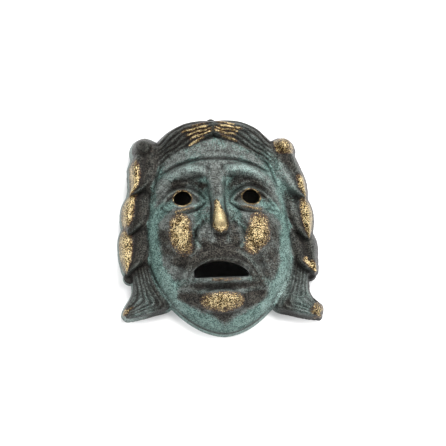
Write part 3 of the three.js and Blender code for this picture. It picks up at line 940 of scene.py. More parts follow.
@dataclass
class Relief:
    """Front of the mask as a field of heights over the plane of the rim, with the fields of its finish."""

    face: Face = field(default_factory=Face)
    locks: tuple[Lock, ...] = LOCKS
    curls: tuple[Curl, ...] = CURLS
    half_size: Place = (70.0, 76.0)
    cell: float = 0.25
    softness: float = 0.3
    crease_width: float = 8.0
    crease_depth: float = 1.2
    crease_softness: float = 0.6
    hair_side: Place = (0.7, 0.85)
    face_guard: float = 40.0
    near_reach: float = 1.0
    broad_reach: float = 4.0
    eye_rim_level: float = 1.04
    eye_rim_half_width: float = 0.08
    eye_rim_wear: float = 1.9
    wear_softness: float = 0.35
    colour_softness: float = 0.8
    groove_softness: float = 0.25

    def __post_init__(self) -> None:
        """Work out the fields once."""
        columns, rows = (int(2 * half / self.cell) + 1 for half in self.half_size)
        x_line = np.linspace(-self.half_size[0], self.half_size[0], columns)
        y_line = np.linspace(-self.half_size[1], self.half_size[1], rows)
        self.x, self.y = np.meshgrid(x_line, y_line)
        self.fields: dict[str, Array] = {}
        self._shape_heights()
        self._lay_finishes()

    def _soft(self, values: Array, reach: float) -> Array:
        """Blur a field over a reach in millimetres."""
        return blurred(values, reach / self.cell)

    def _shape_heights(self) -> None:
        """Make the height field and note which form is on top."""
        covered = self.face.covers(self.x, self.y)
        top = np.where(covered, self.face.height(self.x, self.y), -np.inf)
        hair, bare, furrow = (np.zeros_like(top) for _ in range(3))

        def lay(height: Array, wear: Array | float, depth: Array) -> None:
            """Lay a form of the hair over what it rises above."""
            higher = height > top
            for values, over in ((top, height), (hair, 1.0), (bare, wear), (furrow, depth)):
                np.copyto(values, over, where=higher)

        for lock in self.locks:
            along, across = lock.locate(self.x, self.y)
            on_lock = ~np.isnan(along)
            along, across = np.nan_to_num(along), np.nan_to_num(across)
            height = np.where(on_lock, lock.height(along, across), -np.inf)
            lay(height, lock.bareness(along, across), lock.shade(along, across))
        for curl in self.curls:
            height = curl.height(self.x, self.y)
            lay(np.where(np.isnan(height), -np.inf, height), curl.bare, curl.furrow(self.x, self.y))
        inside = np.isfinite(top)
        top = np.where(inside, self._shallower(top), top)
        weight = self._soft(inside.astype(float), self.softness)
        soft = self._soft(np.where(inside, top, 0.0), self.softness) / np.maximum(weight, 1e-6)
        self.fields["height"] = np.where(weight > 1e-3, soft, 0.0)
        self.fields["inside"] = inside.astype(float)
        self.fields["hair"] = hair
        self.fields["lock_bare"] = bare
        self.fields["furrow"] = furrow

    def _shallower(self, top: Array) -> Array:
        """Fill narrow creases at the hair, as the founder's wax does.

        Args:
            top: Heights, minus infinity beside the mask.

        Returns:
            Heights with no narrow crease at the hair deeper than the crease depth.
        """
        passes = int(0.5 * self.crease_width / self.cell)
        closed = np.where(np.isfinite(top), top, 0.0)
        for pick in (np.maximum, np.minimum):
            for turn in range(passes):
                closed = neighbour_extreme(closed, pick, turn % 2 == 0)
        within = 1.0 - smooth_step(*self.hair_side, self.face.filled(self.x, self.y))
        filling = self._soft(closed, self.crease_softness) - self.crease_depth
        return np.maximum(top, filling - self.face_guard * within)

    def _lay_finishes(self) -> None:
        """Work out the fields of the finish from the relief, the painted patches and soft clouds."""
        x, y = self.x, self.y
        across = x - self.face.sizes.lean * y
        side = np.abs(across)
        hair = self.fields["hair"]
        furrow = self.fields["furrow"] * hair
        raised, broad = self._over_mean(self.near_reach), self._over_mean(self.broad_reach)
        hollows = np.clip(-broad / 1.5, 0.0, 1.0)
        clouds = value_noise(x, y, 8.0, 3) + 0.5 * value_noise(x, y, 3.5, 4) - 0.75
        # Lighter hair patches: greener patina, with painted light on the right
        light = self._painted(LIGHT_HAIR, across, y)

        # Bare metal on the worn places and around the eye holes
        bare = np.where(hair > 0, self.fields["lock_bare"], self._painted(BARE_PATCHES, across, y))
        eye_level = np.hypot((side - EYE_PLACE[0]) / EYE_HALF_SIZE[0], (y - EYE_PLACE[1]) / EYE_HALF_SIZE[1])
        rim = np.clip(1.0 - ((eye_level - self.eye_rim_level) / self.eye_rim_half_width) ** 2, 0.0, 1.0)
        self.fields["bare"] = self._soft(np.maximum(bare, self.eye_rim_wear * rim), self.wear_softness)

        # Dark patina on most of the hair, and dark patches of the face: patina in some, painted shade in
        # others
        on_face = self._painted(DARK_AND_SHADE_PATCHES, across, y) * (0.9 + 0.5 * clouds) + 0.3 * clouds
        dark = np.where(hair > 0, 0.95 - 0.6 * light + 0.5 * clouds, on_face)
        self.fields["dark"] = np.clip(self._soft(dark, self.colour_softness), 0.0, 1.0)

        # Green in patches of the face, in hollows and on the hair at the temples
        on_face = 0.3 + 0.8 * self._painted(GREEN_PATCHES, across, y) + 0.4 * clouds + 0.3 * hollows
        at_temple = smooth_step(47.0, 36.0, side) * smooth_step(0.0, 30.0, y) * smooth_step(50.0, 42.0, y)
        on_hair = 0.1 + 0.5 * at_temple + 0.3 * light + 0.3 * hollows + 0.4 * clouds
        green = np.where(hair > 0, on_hair, on_face)
        self.fields["green"] = np.clip(self._soft(green, self.colour_softness), 0.0, 1.0)

        # Painted shade, black in the grooves and hollows, and painted highlight, pale on the crests and the
        # pale patches
        sunk = np.maximum(np.clip(-raised / 0.45, 0.0, 1.0), 0.9 * smooth_step(0.3, 0.9, furrow))
        self.fields["sunk"] = self._soft(sunk, self.groove_softness)
        crest = 0.38 * hair * smooth_step(0.35, 0.0, furrow)
        pale = self._painted(PALE_AND_HIGHLIGHT_PATCHES, across, y) * (0.6 + 0.8 * clouds)
        lit = np.maximum(np.maximum(np.clip(raised / 1.1, 0.0, 0.7), crest), pale)
        self.fields["raised"] = self._soft(lit, self.groove_softness)

    def _over_mean(self, reach: float) -> Array:
        """Height of each place over the mean of the mask around it.

        Args:
            reach: How far around each place the mean is taken.

        Returns:
            The heights over the mean, 0 beside the mask.
        """
        height, inside = self.fields["height"], self.fields["inside"]
        mean = self._soft(height * inside, reach) / np.maximum(self._soft(inside, reach), 1e-3)
        return inside * (height - mean)

    @staticmethod
    def _painted(patches: tuple[Ridge, ...], across: Array, up: Array) -> Array:
        """Strongest of some patches at each place.

        Args:
            patches: The patches.
            across: X from the midline.
            up: Y of each place.

        Returns:
            Their strengths, 0 beside them.
        """
        strength = np.zeros_like(across)
        for patch in patches:
            strength = np.maximum(strength, patch.height(across, up))
        return strength

    def sample(self, name: str, x: Array, y: Array) -> Array:
        """Read a field at places between its cells.

        Args:
            name: Name of the field.
            x: X of each place.
            y: Y of each place.

        Returns:
            The values there.
        """
        values = self.fields[name]
        column = np.clip((x + self.half_size[0]) / self.cell, 0, values.shape[1] - 1.001)
        row = np.clip((y + self.half_size[1]) / self.cell, 0, values.shape[0] - 1.001)
        left, low = column.astype(int), row.astype(int)
        part_x, part_y = column - left, row - low
        lower = values[low, left] * (1 - part_x) + values[low, left + 1] * part_x
        upper = values[low + 1, left] * (1 - part_x) + values[low + 1, left + 1] * part_x
        return lower * (1 - part_y) + upper * part_y

    def covers(self, x: Array, y: Array) -> Array:
        """Whether the mask covers each place.

        Args:
            x: X of each place.
            y: Y of each place.

        Returns:
            True where the face, a lock or a curl is.
        """
        covered = self.face.covers(x, y)
        for lock in self.locks:
            covered |= ~np.isnan(lock.locate(x, y)[0])
        for curl in self.curls:
            covered |= ~np.isnan(curl.height(x, y))
        return covered


# Making meshes


def deselect_everything() -> None:
    """Leave no object selected and no mesh in edit mode."""
    if bpy.context.object and bpy.context.object.mode != "OBJECT":
        bpy.ops.object.mode_set(mode="OBJECT")
    bpy.ops.object.select_all(action="DESELECT")


def make_active(piece: bpy.types.Object) -> None:
    """Select one piece alone and make it the active one.

    Args:
        piece: The piece.
    """
    deselect_everything()
    piece.select_set(True)
    bpy.context.view_layer.objects.active = piece


def read_places(piece: bpy.types.Object) -> Array:
    """Read the vertex places of a piece.

    Args:
        piece: The piece.

    Returns:
        One row of three numbers for each vertex.
    """
    flat = np.empty(len(piece.data.vertices) * 3)
    piece.data.vertices.foreach_get("co", flat)
    return flat.reshape(-1, 3)


def write_places(piece: bpy.types.Object, places: Array) -> None:
    """Move the vertices of a piece to new places."""
    piece.data.vertices.foreach_set("co", places.ravel())
    piece.data.update()


def cut_or_join(piece: bpy.types.Object, tool: bpy.types.Object, change: Change) -> None:
    """Cut a piece with a tool or join them, and remove the tool.

    Args:
        piece: The piece that is changed.
        tool: The solid that cuts it or joins it.
        change: What the tool does.
    """
    make_active(piece)
    modifier = piece.modifiers.new("cut", "BOOLEAN")
    modifier.operation = change.value
    modifier.solver = "MANIFOLD"
    modifier.object = tool
    bpy.ops.object.modifier_apply(modifier=modifier.name)
    bpy.data.objects.remove(tool, do_unlink=True)


def settled_tool() -> bpy.types.Object:
    """Write the place and the scale of the new tool into its mesh, and return the tool."""
    bpy.ops.object.transform_apply(location=True, rotation=True, scale=True)
    return bpy.context.object


def make_round_blank(name: str, rings: int, wall_rows: int) -> bpy.types.Object:
    """Make a closed blank: a square grid of rings, with side walls and a flat foot.

    Args:
        name: Name of the new piece.
        rings: Rings of faces from the middle to the edge.
        wall_rows: Rows of faces down the sides.

    Returns:
        The blank, two units wide, each wall row a fixed step under the last.
    """
    deselect_everything()
    bpy.ops.mesh.primitive_grid_add(x_subdivisions=2 * rings, y_subdivisions=2 * rings, size=2.0)
    blank = bpy.context.object
    blank.name = name
    bpy.ops.object.mode_set(mode="EDIT")
    bpy.ops.mesh.select_mode(type="EDGE")
    bpy.ops.mesh.select_all(action="DESELECT")
    bpy.ops.mesh.select_non_manifold()
    for _ in range(wall_rows):
        bpy.ops.mesh.extrude_region_move(TRANSFORM_OT_translate={"value": (0.0, 0.0, -WALL_STEP)})
    bpy.ops.mesh.edge_face_add()
    bpy.ops.mesh.select_all(action="SELECT")
    bpy.ops.mesh.normals_make_consistent(inside=False)
    bpy.ops.object.mode_set(mode="OBJECT")
    return blank


def read_blank(blank: bpy.types.Object) -> tuple[Array, Array, Array]:
    """Find where each vertex of a blank lies on it.

    Args:
        blank: A blank from make_round_blank.

    Returns:
        Share of the way from the middle to the edge, angle, and row down the wall.
    """
    places = read_places(blank)
    x, y = places[:, 0], places[:, 1]
    share = np.maximum(np.abs(x), np.abs(y))
    safe = np.maximum(share, 1e-9)
    right, left = x >= share - 1e-6, x <= -share + 1e-6
    turn = np.where(
        right,
        y / safe,
        np.where(left, 4.0 - y / safe, np.where(y > 0, 2.0 - x / safe, 6.0 + x / safe)),
    )
    return share, turn * math.pi / 4.0, np.round(-places[:, 2] / WALL_STEP)


@dataclass
class Casting:
    """The mask itself: one casting with a hollow back, pierced eyes, an open mouth and a hanging ring.

    The first value of each reach is where it starts and the second where it ends.
    """

    relief: Relief
    rings: int = 130
    wall_rows: int = 7
    centre: Place = (0.0, -5.0)
    search_reach: Place = (100.0, 35.0)
    search_step: float = 0.25
    search_halvings: int = 6
    draft: float = math.radians(14.0)
    draft_limit: float = 11.0
    wall: float = 3.6
    wall_directions: int = 8
    hollow_rings: int = 44
    hollow_centre_y: float = 1.0
    hollow_half_width: float = 56.5
    hollow_rise: float = 63.5
    hollow_drop: float = 63.5
    hollow_squareness: float = 2.2
    hollow_chin_squareness: float = 1.78
    hollow_foot: float = -2.0
    hair_depth: float = 7.5
    hair_depth_reach: Place = (-50.0, -30.0)
    lip: float = 3.0
    vault: float = 30.0
    drill_sides: int = 72
    drill_length: float = 90.0
    drill_middle: float = 40.0
    mouth_sides: int = 96
    mouth_half_width: float = 17.1
    mouth_shift: float = -0.7
    mouth_crown_y: float = -24.9
    mouth_crown_shift: float = -2.4
    mouth_arch_power: float = 1.15
    mouth_corner_y: float = -32.6
    mouth_corner_round: float = 0.45
    mouth_sill_y: float = -34.7
    mouth_cutter_foot: float = -5.0
    mouth_cutter_length: float = 85.0
    origin: Triple = (-0.0015, -0.0008, 0.0)
    hanging_ring: Triple = (-2.0, 69.0, 1.2)
    hanging_ring_radius: float = 2.4
    hanging_wire_radius: float = 0.9
    hanging_ring_sides: int = 40
    hanging_wire_sides: int = 14
    ground_width: float = 300.0
    ground_depth: float = 20.0
    field_directions: int = 1440
    edge_inset: float = 0.6
    wall_gap: float = 0.05
    behind_depth: float = 2.0
    smooth_below: float = math.radians(50.0)

    def _places(self, angles: Array, distances: Array) -> tuple[Array, Array]:
        """Places at some distances from the centre in some directions."""
        return self.centre[0] + distances * np.cos(angles), self.centre[1] + distances * np.sin(angles)

    def outline(self, angles: Array) -> Array:
        """Distance from the centre to the outline's top edge in each direction.

        Args:
            angles: The directions.

        Returns:
            The distances.
        """
        steps = np.arange(*self.search_reach, -self.search_step)
        first = self.relief.covers(*self._places(angles[:, None], steps[None, :])).argmax(axis=1)
        inner, outer = steps[first], steps[first] + self.search_step
        for _ in range(self.search_halvings):
            middle = 0.5 * (inner + outer)
            covered = self.relief.covers(*self._places(angles, middle))
            inner, outer = np.where(covered, middle, inner), np.where(covered, outer, middle)
        return inner

    def flared(self, angles: Array, distances: Array, heights: Array) -> Array:
        """Distance from the centre to the rim, which the drafted side walls reach.

        Args:
            angles: Directions of the top edge's points.
            distances: Their distances from the centre.
            heights: Their heights over the rim.

        Returns:
            The distances of the rim in the same directions.
        """
        reach = np.minimum(heights, self.draft_limit) * math.tan(self.draft)
        turn = angles[None, :] - angles[:, None]
        beside = distances[None, :] * np.sin(turn)
        along = distances[None, :] * np.cos(turn)
        rest = reach[None, :] ** 2 - beside**2
        hit = np.where((rest > 0) & (along > 0), along + np.sqrt(np.clip(rest, 0, None)), 0.0)
        return np.maximum(hit.max(axis=1), distances)

    def ring_reach(self, edge: Array, share: Array, angle: Array) -> Array:
        """Distance from the centre to the line that each ring of the blank follows.

        Args:
            edge: Distances of the outline, evenly spaced around it.
            share: How far each vertex is from the middle to the edge of the blank.
            angle: Direction of each vertex.

        Returns:
            The distances, which follow the outline at the edge and get rounder towards the middle.
        """
        waves = np.fft.rfft(edge)
        fading = np.arange(len(waves))
        reach = np.empty_like(share)
        ring = np.round(share * self.rings).astype(int)
        for number in range(self.rings + 1):
            soft_edge = np.fft.irfft(waves * (number / self.rings) ** fading, len(edge))
            on_ring = ring == number
            reach[on_ring] = around(soft_edge, angle[on_ring])
        return reach

    def make_outer(self) -> bpy.types.Object:
        """Make the solid outer form: the relief, its side walls and a flat foot.

        Returns:
            The solid, in millimetres.
        """
        blank = make_round_blank("mask_casting", self.rings, self.wall_rows)
        share, angle, row = read_blank(blank)
        directions = even_angles(8 * self.rings)
        edge = self.outline(directions)
        edge_height = self.relief.sample("height", *self._places(directions, edge))
        rim = self.flared(directions, edge, edge_height)
        down = row / self.wall_rows
        distance = share * self.ring_reach(edge, share, angle)
        distance = distance + down * (around(rim, angle) - around(edge, angle))
        x, y = self._places(angle, distance)
        top = self.relief.sample("height", x, y)
        z = np.where(row > 0, around(edge_height, angle) * (1.0 - down), top)
        write_places(blank, np.column_stack([x, y, z]))
        return blank

    def lowest_nearby(self, x: Array, y: Array) -> Array:
        """Lowest height of the face within a wall's thickness of each place.

        Args:
            x: X of each place.
            y: Y of each place.

        Returns:
            The heights over the rim.
        """
        lowest = self.relief.face.height(x, y)
        for angle in even_angles(self.wall_directions):
            beside = self.relief.face.height(x + self.wall * math.cos(angle), y + self.wall * math.sin(angle))
            lowest = np.minimum(lowest, beside)
        return lowest

    def make_hollow(self) -> bpy.types.Object:
        """Make the solid that is cut from the back.

        Returns:
            The solid, in millimetres.
        """
        blank = make_round_blank("hollow", self.hollow_rings, 1)
        share, angle, row = read_blank(blank)
        lower = np.sin(angle) < 0
        power = np.where(lower, self.hollow_chin_squareness, self.hollow_squareness)
        rise = np.where(lower, self.hollow_drop, self.hollow_rise)
        reach = oval_reach(angle, self.hollow_half_width, rise, power)
        x = share * reach * np.cos(angle)
        y = self.hollow_centre_y + share * reach * np.sin(angle)
        hair = self.hair_depth * smooth_step(*self.hair_depth_reach, y)
        vault = self.lip + (self.vault - self.lip) * np.sqrt(np.clip(1.0 - share**4, 0.0, 1.0))
        z = np.minimum(np.maximum(self.lowest_nearby(x, y) - self.wall, hair), vault)
        write_places(blank, np.column_stack([x, y, np.where(row > 0, self.hollow_foot, z)]))
        return blank

    def make_eye_drill(self, side: int) -> bpy.types.Object:
        """Make the drill for one eye hole.

        Args:
            side: 1 for positive X, -1 for negative X.

        Returns:
            The solid, in millimetres.
        """
        x = side * EYE_PLACE[0] + self.relief.face.sizes.lean * EYE_PLACE[1]
        deselect_everything()
        bpy.ops.mesh.primitive_cylinder_add(
            vertices=self.drill_sides,
            radius=1.0,
            depth=self.drill_length,
            location=(x, EYE_PLACE[1], self.drill_middle),
        )
        bpy.ops.transform.resize(value=(*EYE_HALF_SIZE, 1.0))
        return settled_tool()

    def make_mouth_cutter(self) -> bpy.types.Object:
        """Make the cutter of the open mouth: an arch over a level sill.

        Returns:
            The solid, in millimetres.
        """
        deselect_everything()
        bpy.ops.mesh.primitive_circle_add(vertices=self.mouth_sides, radius=1.0, fill_type="NGON")
        cutter = bpy.context.object
        places = read_places(cutter)
        cosine, sine = places[:, 0], places[:, 1]
        middle = self.relief.face.sizes.lean * self.mouth_sill_y + self.mouth_shift
        rise = np.clip(sine, 0.0, 1.0)
        fall = quarter_round(-sine, self.mouth_corner_round)
        arch = self.mouth_corner_y + (self.mouth_crown_y - self.mouth_corner_y) * rise**self.mouth_arch_power
        sill = self.mouth_corner_y + (self.mouth_sill_y - self.mouth_corner_y) * fall
        places[:, 0] = middle + self.mouth_half_width * cosine + self.mouth_crown_shift * rise
        places[:, 1] = np.where(sine >= 0, arch, sill)
        places[:, 2] = self.mouth_cutter_foot
        write_places(cutter, places)
        bpy.ops.object.mode_set(mode="EDIT")
        bpy.ops.mesh.select_all(action="SELECT")
        move = {"value": (0.0, 0.0, self.mouth_cutter_length)}
        bpy.ops.mesh.extrude_region_move(TRANSFORM_OT_translate=move)
        bpy.ops.mesh.select_all(action="SELECT")
        bpy.ops.mesh.normals_make_consistent(inside=False)
        bpy.ops.object.mode_set(mode="OBJECT")
        return cutter

    def make_hanging_ring(self) -> bpy.types.Object:
        """Make the small ring at the back of the top edge.

        Returns:
            The solid, in millimetres.
        """
        deselect_everything()
        bpy.ops.mesh.primitive_torus_add(
            location=self.hanging_ring,
            major_segments=self.hanging_ring_sides,
            minor_segments=self.hanging_wire_sides,
            major_radius=self.hanging_ring_radius,
            minor_radius=self.hanging_wire_radius,
        )
        return settled_tool()

    def make_ground(self) -> bpy.types.Object:
        """Make the block under the level of the rim that trims what reaches lower.

        Returns:
            The solid, in millimetres.
        """
        deselect_everything()
        bpy.ops.mesh.primitive_cube_add(
            size=1.0,
            location=(0.0, 0.0, -self.ground_depth / 2.0),
            scale=(self.ground_width, self.ground_width, self.ground_depth),
        )
        return settled_tool()

    def write_fields(self, piece: bpy.types.Object) -> None:
        """Give each vertex the fields that the finish reads.

        Args:
            piece: The casting, still in millimetres.
        """
        x, y, z = read_places(piece).T
        away = np.hypot(x - self.centre[0], y - self.centre[1])
        edge = self.outline(even_angles(self.field_directions))
        edge_here = around(edge, np.arctan2(y - self.centre[1], x - self.centre[0]))
        pulled = np.minimum(away, edge_here - self.edge_inset) / np.maximum(away, 1e-6)
        inner_x = self.centre[0] + (x - self.centre[0]) * pulled
        inner_y = self.centre[1] + (y - self.centre[1]) * pulled
        on_wall = away > edge_here + self.wall_gap
        surface = self.relief.sample("height", inner_x, inner_y)
        behind = ~on_wall & (z < surface - self.behind_depth)
        near_top = smooth_step(0.3, 0.9, z / np.maximum(surface, 1.0))
        under_chin = smooth_step(-46.0, -52.0, y) * smooth_step(38.0, 30.0, np.abs(x))
        at_right = smooth_step(-15.0, 15.0, x)
        at_left = smooth_step(-44.0, -54.0, x)
        for finish in Finish:
            values = self.relief.sample(finish.value, inner_x, inner_y)
            # On the walls: bare metal only near the top, green under the chin, darker towards the right, and
            # painted highlight with no painted shade at the left and under the chin
            wall = {
                Finish.BARE: values * near_top,
                Finish.GREEN: 0.35 + 0.45 * under_chin,
                Finish.DARK: (0.3 + 0.6 * at_right - 0.3 * at_left) * (1.0 - under_chin),
                Finish.PAINTED_SHADE: values * (1.0 - np.maximum(under_chin, at_left)),
                Finish.HIGHLIGHT_AND_PALE: values + (0.4 - values) * under_chin + 0.9 * at_left,
            }
            values = np.where(on_wall, wall[finish], values)
            values = np.where(behind, BEHIND[finish], values)
            attribute = piece.data.attributes.new(finish.value, "FLOAT", "POINT")
            attribute.data.foreach_set("value", values.astype(np.float32))

    def build(self) -> bpy.types.Object:
        """Cast the mask, in its place in the frame.

        Returns:
            The finished piece.
        """
        piece = self.make_outer()
        cut_or_join(piece, self.make_hanging_ring(), Change.JOIN)
        cut_or_join(piece, self.make_hollow(), Change.CUT)
        cut_or_join(piece, self.make_mouth_cutter(), Change.CUT)
        for side in (-1, 1):
            cut_or_join(piece, self.make_eye_drill(side), Change.CUT)
        cut_or_join(piece, self.make_ground(), Change.CUT)
        self.write_fields(piece)
        write_places(piece, read_places(piece) * MILLIMETRE + self.origin)
        make_active(piece)
        bpy.ops.object.shade_smooth_by_angle(angle=self.smooth_below)
        return piece


# Finishes


class NodeTree:
    """Short way to write a material's nodes."""

    def __init__(self, name: str) -> None:
        """Start an empty material.

        Args:
            name: Name of the material.
        """
        self.material = bpy.data.materials.new(name)
        self.material.use_nodes = True
        self.tree = self.material.node_tree
        self.tree.nodes.clear()

    def add(self, kind: str, settings: dict[str, str] | None = None, **inputs: object) -> bpy.types.Node:
        """Add a node.

        Args:
            kind: Type name of the node.
            settings: Properties of the node.
            **inputs: Values or sockets for its inputs, with _ for a space in a name, or n and a number.

        Returns:
            The new node.
        """
        node = self.tree.nodes.new(kind)
        for key, value in (settings or {}).items():
            setattr(node, key, value)
        for key, value in inputs.items():
            name = key.replace("_", " ")
            numbered = name[0] == "n" and name[1:].isdigit()
            socket = node.inputs[int(name[1:])] if numbered else node.inputs[name]
            if isinstance(value, Socket):
                self.tree.links.new(value, socket)
            else:
                socket.default_value = value
        return node

    def maths(self, operation: str, *values: Socket | float) -> Socket:
        """Add a number operation and return its result."""
        inputs = {f"n{number}": value for number, value in enumerate(values)}
        return self.add("ShaderNodeMath", {"operation": operation}, **inputs).outputs[0]

    def total(self, first: Socket, second: Socket) -> Socket:
        """Add two values."""
        return self.maths("ADD", first, second)

    def product(self, first: Socket, second: Socket | float) -> Socket:
        """Multiply two values."""
        return self.maths("MULTIPLY", first, second)

    def scaled(self, value: Socket, factor: float, shift: Socket | float) -> Socket:
        """Multiply a value by a factor and add a shift."""
        return self.maths("MULTIPLY_ADD", value, factor, shift)

    def blend(self, part: Socket, first: Socket | Colour, second: Socket | Colour) -> Socket:
        """Blend two colours and return the result."""
        return self.add("ShaderNodeMix", {"data_type": "RGBA"}, n0=part, n6=first, n7=second).outputs[2]

    def noise(self, coordinates: Socket, size: float, detail: float = 2.0) -> Socket:
        """Add noise with lumps of about a size in metres, and return its value."""
        node = self.add("ShaderNodeTexNoise", None, Vector=coordinates, Scale=1.0 / size, Detail=detail)
        return node.outputs[0]

    def ramp(self, value: Socket, low: float, high: float) -> Socket:
        """Rise smoothly from 0 to 1 between two values."""
        settings = {"interpolation_type": "SMOOTHSTEP"}
        return self.add("ShaderNodeMapRange", settings, Value=value, From_Min=low, From_Max=high).outputs[0]

    def field(self, name: str) -> Socket:
        """Read one of the piece's vertex fields."""
        return self.add("ShaderNodeAttribute", {"attribute_name": name}).outputs["Fac"]

    def finish(self, **inputs: object) -> bpy.types.Material:
        """Close the material with a principled surface.

        Args:
            **inputs: Values or sockets for the surface's inputs, with _ for a space in a name.

        Returns:
            The finished material.
        """
        shader = self.add("ShaderNodeBsdfPrincipled", None, **inputs)
        self.add("ShaderNodeOutputMaterial", None, Surface=shader.outputs[0])
        return self.material


@dataclass(frozen=True)
class BronzePatina:
    """Cast bronze: dark patina, green in the hollows and speckled bare metal on the high places, with painted
    shade and painted highlights.
    """

    # Near black of the dark patina, the pits and the painted shade
    dark: Colour = (0.006, 0.005, 0.004, 1.0)
    umber: Colour = (0.066, 0.060, 0.050, 1.0)
    grey: Colour = (0.045, 0.048, 0.045, 1.0)
    pale_grey: Colour = (0.16, 0.175, 0.165, 1.0)
    crest: Colour = (0.268, 0.348, 0.326, 1.0)
    # Pale colour of the painted highlights, also of the pale patina on the jaw
    green: Colour = (0.034, 0.064, 0.056, 1.0)
    pale_green: Colour = (0.18, 0.272, 0.248, 1.0)
    rust: Colour = (0.075, 0.038, 0.027, 1.0)
    gold: Colour = (0.27, 0.18, 0.075, 1.0)
    pale_gold: Colour = (0.62, 0.51, 0.30, 1.0)
    grain_size: float = 0.0012
    fine_size: float = 0.0008
    pit_size: float = 0.0007
    mottle_size: float = 0.0035
    cloud_size: float = 0.008
    bump_strength: float = 0.9
    bump_distance: float = 0.0009
    specular: float = 0.25

    def make(self) -> bpy.types.Material:
        """Make the material.

        Returns:
            The finished material.
        """
        nodes = NodeTree("bronze")
        coordinates = nodes.add("ShaderNodeTexCoord").outputs["Object"]
        grain = nodes.noise(coordinates, self.grain_size)
        fine = nodes.noise(coordinates, self.fine_size, 3.0)
        clouds = nodes.noise(coordinates, self.cloud_size, 3.0)
        bare, green, dark, sunk, raised = (nodes.field(finish.value) for finish in Finish)
        mottle = nodes.noise(coordinates, self.mottle_size, 4.0)
        mixed = nodes.scaled(mottle, 0.3, nodes.product(fine, 0.7))

        # Grey patina, with green and umber spread over it, painted shade black in the grooves and painted
        # highlight pale on the crests
        speckle = nodes.ramp(mixed, 0.39, 0.62)
        patina = nodes.blend(speckle, self.grey, self.pale_grey)
        verdigris = nodes.blend(speckle, self.green, self.pale_green)
        umber = nodes.blend(nodes.ramp(mixed, 0.42, 0.61), self.dark, self.umber)
        spread = nodes.total(green, nodes.scaled(clouds, 0.8, -0.4))
        spread = nodes.total(spread, nodes.scaled(grain, 1.2, -0.6))
        base = nodes.blend(nodes.ramp(spread, 0.3, 0.8), patina, verdigris)
        # Dark field: dark patina, and painted shade in the sockets, the creases, under the nose and around
        # the chin boss
        spread = nodes.total(dark, nodes.scaled(clouds, 0.6, -0.3))
        spread = nodes.total(spread, nodes.scaled(grain, 1.2, -0.6))
        base = nodes.blend(nodes.ramp(spread, 0.2, 0.8), base, umber)
        # Painted shade: black in the grooves and hollows
        base = nodes.blend(nodes.product(sunk, 0.9), base, self.dark)
        # Painted highlight in the crest colour on raised places, crests, brows, the upper lip and the lit
        # right side, with pale patina on the jaw
        lit = nodes.product(raised, nodes.scaled(dark, -0.45, 0.65))
        lit = nodes.product(lit, nodes.scaled(nodes.ramp(mixed, 0.42, 0.57), 0.75, 0.25))
        base = nodes.blend(lit, base, self.crest)

        # Bare metal with a rusty halo, two golds and dark pits
        worn = nodes.total(bare, nodes.scaled(grain, 1.0, -0.5))
        worn = nodes.total(worn, nodes.scaled(fine, 2.4, -1.2))
        gate = nodes.ramp(bare, 0.04, 0.3)
        metal = nodes.product(gate, nodes.ramp(worn, 0.40, 0.85))
        halo = nodes.product(gate, nodes.ramp(worn, 0.0, 0.5))
        base = nodes.blend(nodes.product(halo, 0.6), base, self.rust)
        tone = nodes.total(mixed, nodes.scaled(bare, 0.16, -0.14))
        bright = nodes.blend(nodes.ramp(tone, 0.42, 0.60), self.gold, self.pale_gold)
        pits = nodes.scaled(mottle, 0.22, nodes.noise(coordinates, self.pit_size, 3.0))
        pits = nodes.ramp(pits, 0.655, 0.56)
        pits = nodes.product(pits, nodes.scaled(nodes.ramp(bare, 1.1, 1.5), -0.6, 0.95))
        bright = nodes.blend(pits, bright, self.dark)

        bump = nodes.add(
            "ShaderNodeBump",
            None,
            Strength=self.bump_strength,
            Distance=self.bump_distance,
            Height=nodes.scaled(fine, 0.7, grain),
        )
        return nodes.finish(
            Base_Color=nodes.blend(metal, base, bright),
            Roughness=nodes.scaled(metal, -0.04, 0.38),
            Metallic=nodes.scaled(metal, 0.75, 0.2),
            Specular_IOR_Level=self.specular,
            Normal=bump.outputs[0],
        )


@dataclass(frozen=True)
class PaleFloorPaint:
    """Matt white of the studio floor."""

    colour: Colour = (0.82, 0.82, 0.82, 1.0)
    roughness: float = 0.9

    def make(self) -> bpy.types.Material:
        """Make the material."""
        return NodeTree("floor_white").finish(Base_Color=self.colour, Roughness=self.roughness)


# The studio


@dataclass(frozen=True)
class SoftLight:
    """Square light that faces the mask.

    Turn and rise give its direction from the mask in degrees, and its power is in watts.
    """

    name: str
    turn: float
    rise: float
    power: float
    distance: float = 1.3
    size: float = 0.6

    def hang(self) -> None:
        """Hang the light in its place."""
        data = bpy.data.lights.new(self.name, "AREA")
        data.shape = "SQUARE"
        data.size = self.size
        data.energy = self.power
        light = bpy.data.objects.new(self.name, data)
        bpy.context.scene.collection.objects.link(light)
        turn, rise = math.radians(self.turn), math.radians(self.rise)
        away = self.distance * math.cos(rise)
        place = (away * math.cos(turn), away * math.sin(turn), self.distance * math.sin(rise))
        light.location = place
        light.rotation_euler = (-Vector(place)).to_track_quat("-Z", "Y").to_euler()


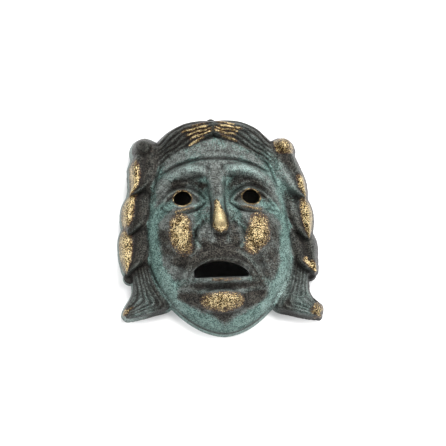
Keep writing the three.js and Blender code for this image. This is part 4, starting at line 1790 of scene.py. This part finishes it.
@dataclass(frozen=True)
class Studio:
    """Pale floor, soft lights and the camera over the lying mask."""

    floor_size: float = 4.0
    lights: tuple[SoftLight, ...] = (
        SoftLight("top_light", 62.0, 50.0, 19.0),
        SoftLight("right_light", 8.0, 34.0, 12.5),
        SoftLight("left_light", 166.0, 34.0, 10.5),
        SoftLight("front_light", -95.0, 36.0, 10.0),
    )
    room_colour: Colour = (0.95, 0.97, 1.0, 1.0)
    room_strength: float = 0.05
    camera_target: Triple = (0.0024, 0.0025, 0.0)
    distance: float = 0.7
    tilt: float = math.radians(8.0)
    pan: float = math.radians(-2.5)
    roll: float = math.radians(2.0)
    pixel: float = 0.00065
    image_width: int = 446
    sensor_width: float = 36.0

    def make_floor(self) -> None:
        """Lay the floor that the mask rests on."""
        deselect_everything()
        bpy.ops.mesh.primitive_plane_add(size=self.floor_size)
        floor = bpy.context.object
        floor.name = "floor"
        floor.data.materials.append(PaleFloorPaint().make())

    def light_up(self) -> None:
        """Hang the lights and fill the room with pale light."""
        for light in self.lights:
            light.hang()
        world = bpy.data.worlds.new("room")
        world.use_nodes = True
        background = world.node_tree.nodes["Background"]
        background.inputs["Color"].default_value = self.room_colour
        background.inputs["Strength"].default_value = self.room_strength
        bpy.context.scene.world = world
        bpy.context.scene.view_settings.view_transform = "Standard"
        bpy.context.scene.view_settings.look = "Medium High Contrast"

    def place_camera(self) -> None:
        """Look down on the mask as the photograph does."""
        back = Vector((math.sin(self.pan), -math.sin(self.tilt), 1.0))
        back.z = math.sqrt(1.0 - back.x**2 - back.y**2)
        up = Vector((math.sin(self.roll), math.cos(self.roll), 0.0))
        right = up.cross(back).normalized()
        up = back.cross(right).normalized()
        data = bpy.data.cameras.new("camera")
        data.sensor_width = self.sensor_width
        data.lens = self.sensor_width * self.distance / (self.pixel * self.image_width)
        camera = bpy.data.objects.new("camera", data)
        bpy.context.scene.collection.objects.link(camera)
        camera.rotation_euler = Matrix((right, up, back)).transposed().to_euler()
        camera.location = Vector(self.camera_target) + back * self.distance
        bpy.context.scene.camera = camera


def main() -> None:
    """Build the mask and its studio in order."""
    studio = Studio()
    studio.place_camera()
    studio.make_floor()
    studio.light_up()
    log.info("studio: floor, lights and camera")

    relief = Relief()
    log.info("relief: %d cells", relief.x.size)
    mask = Casting(relief).build()
    mask.data.materials.clear()
    mask.data.materials.append(BronzePatina().make())
    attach(mask, "root")
    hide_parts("mask")
    log.info("mask: %d vertices, %d faces", len(mask.data.vertices), len(mask.data.polygons))


if __name__ == "__main__":
    main()
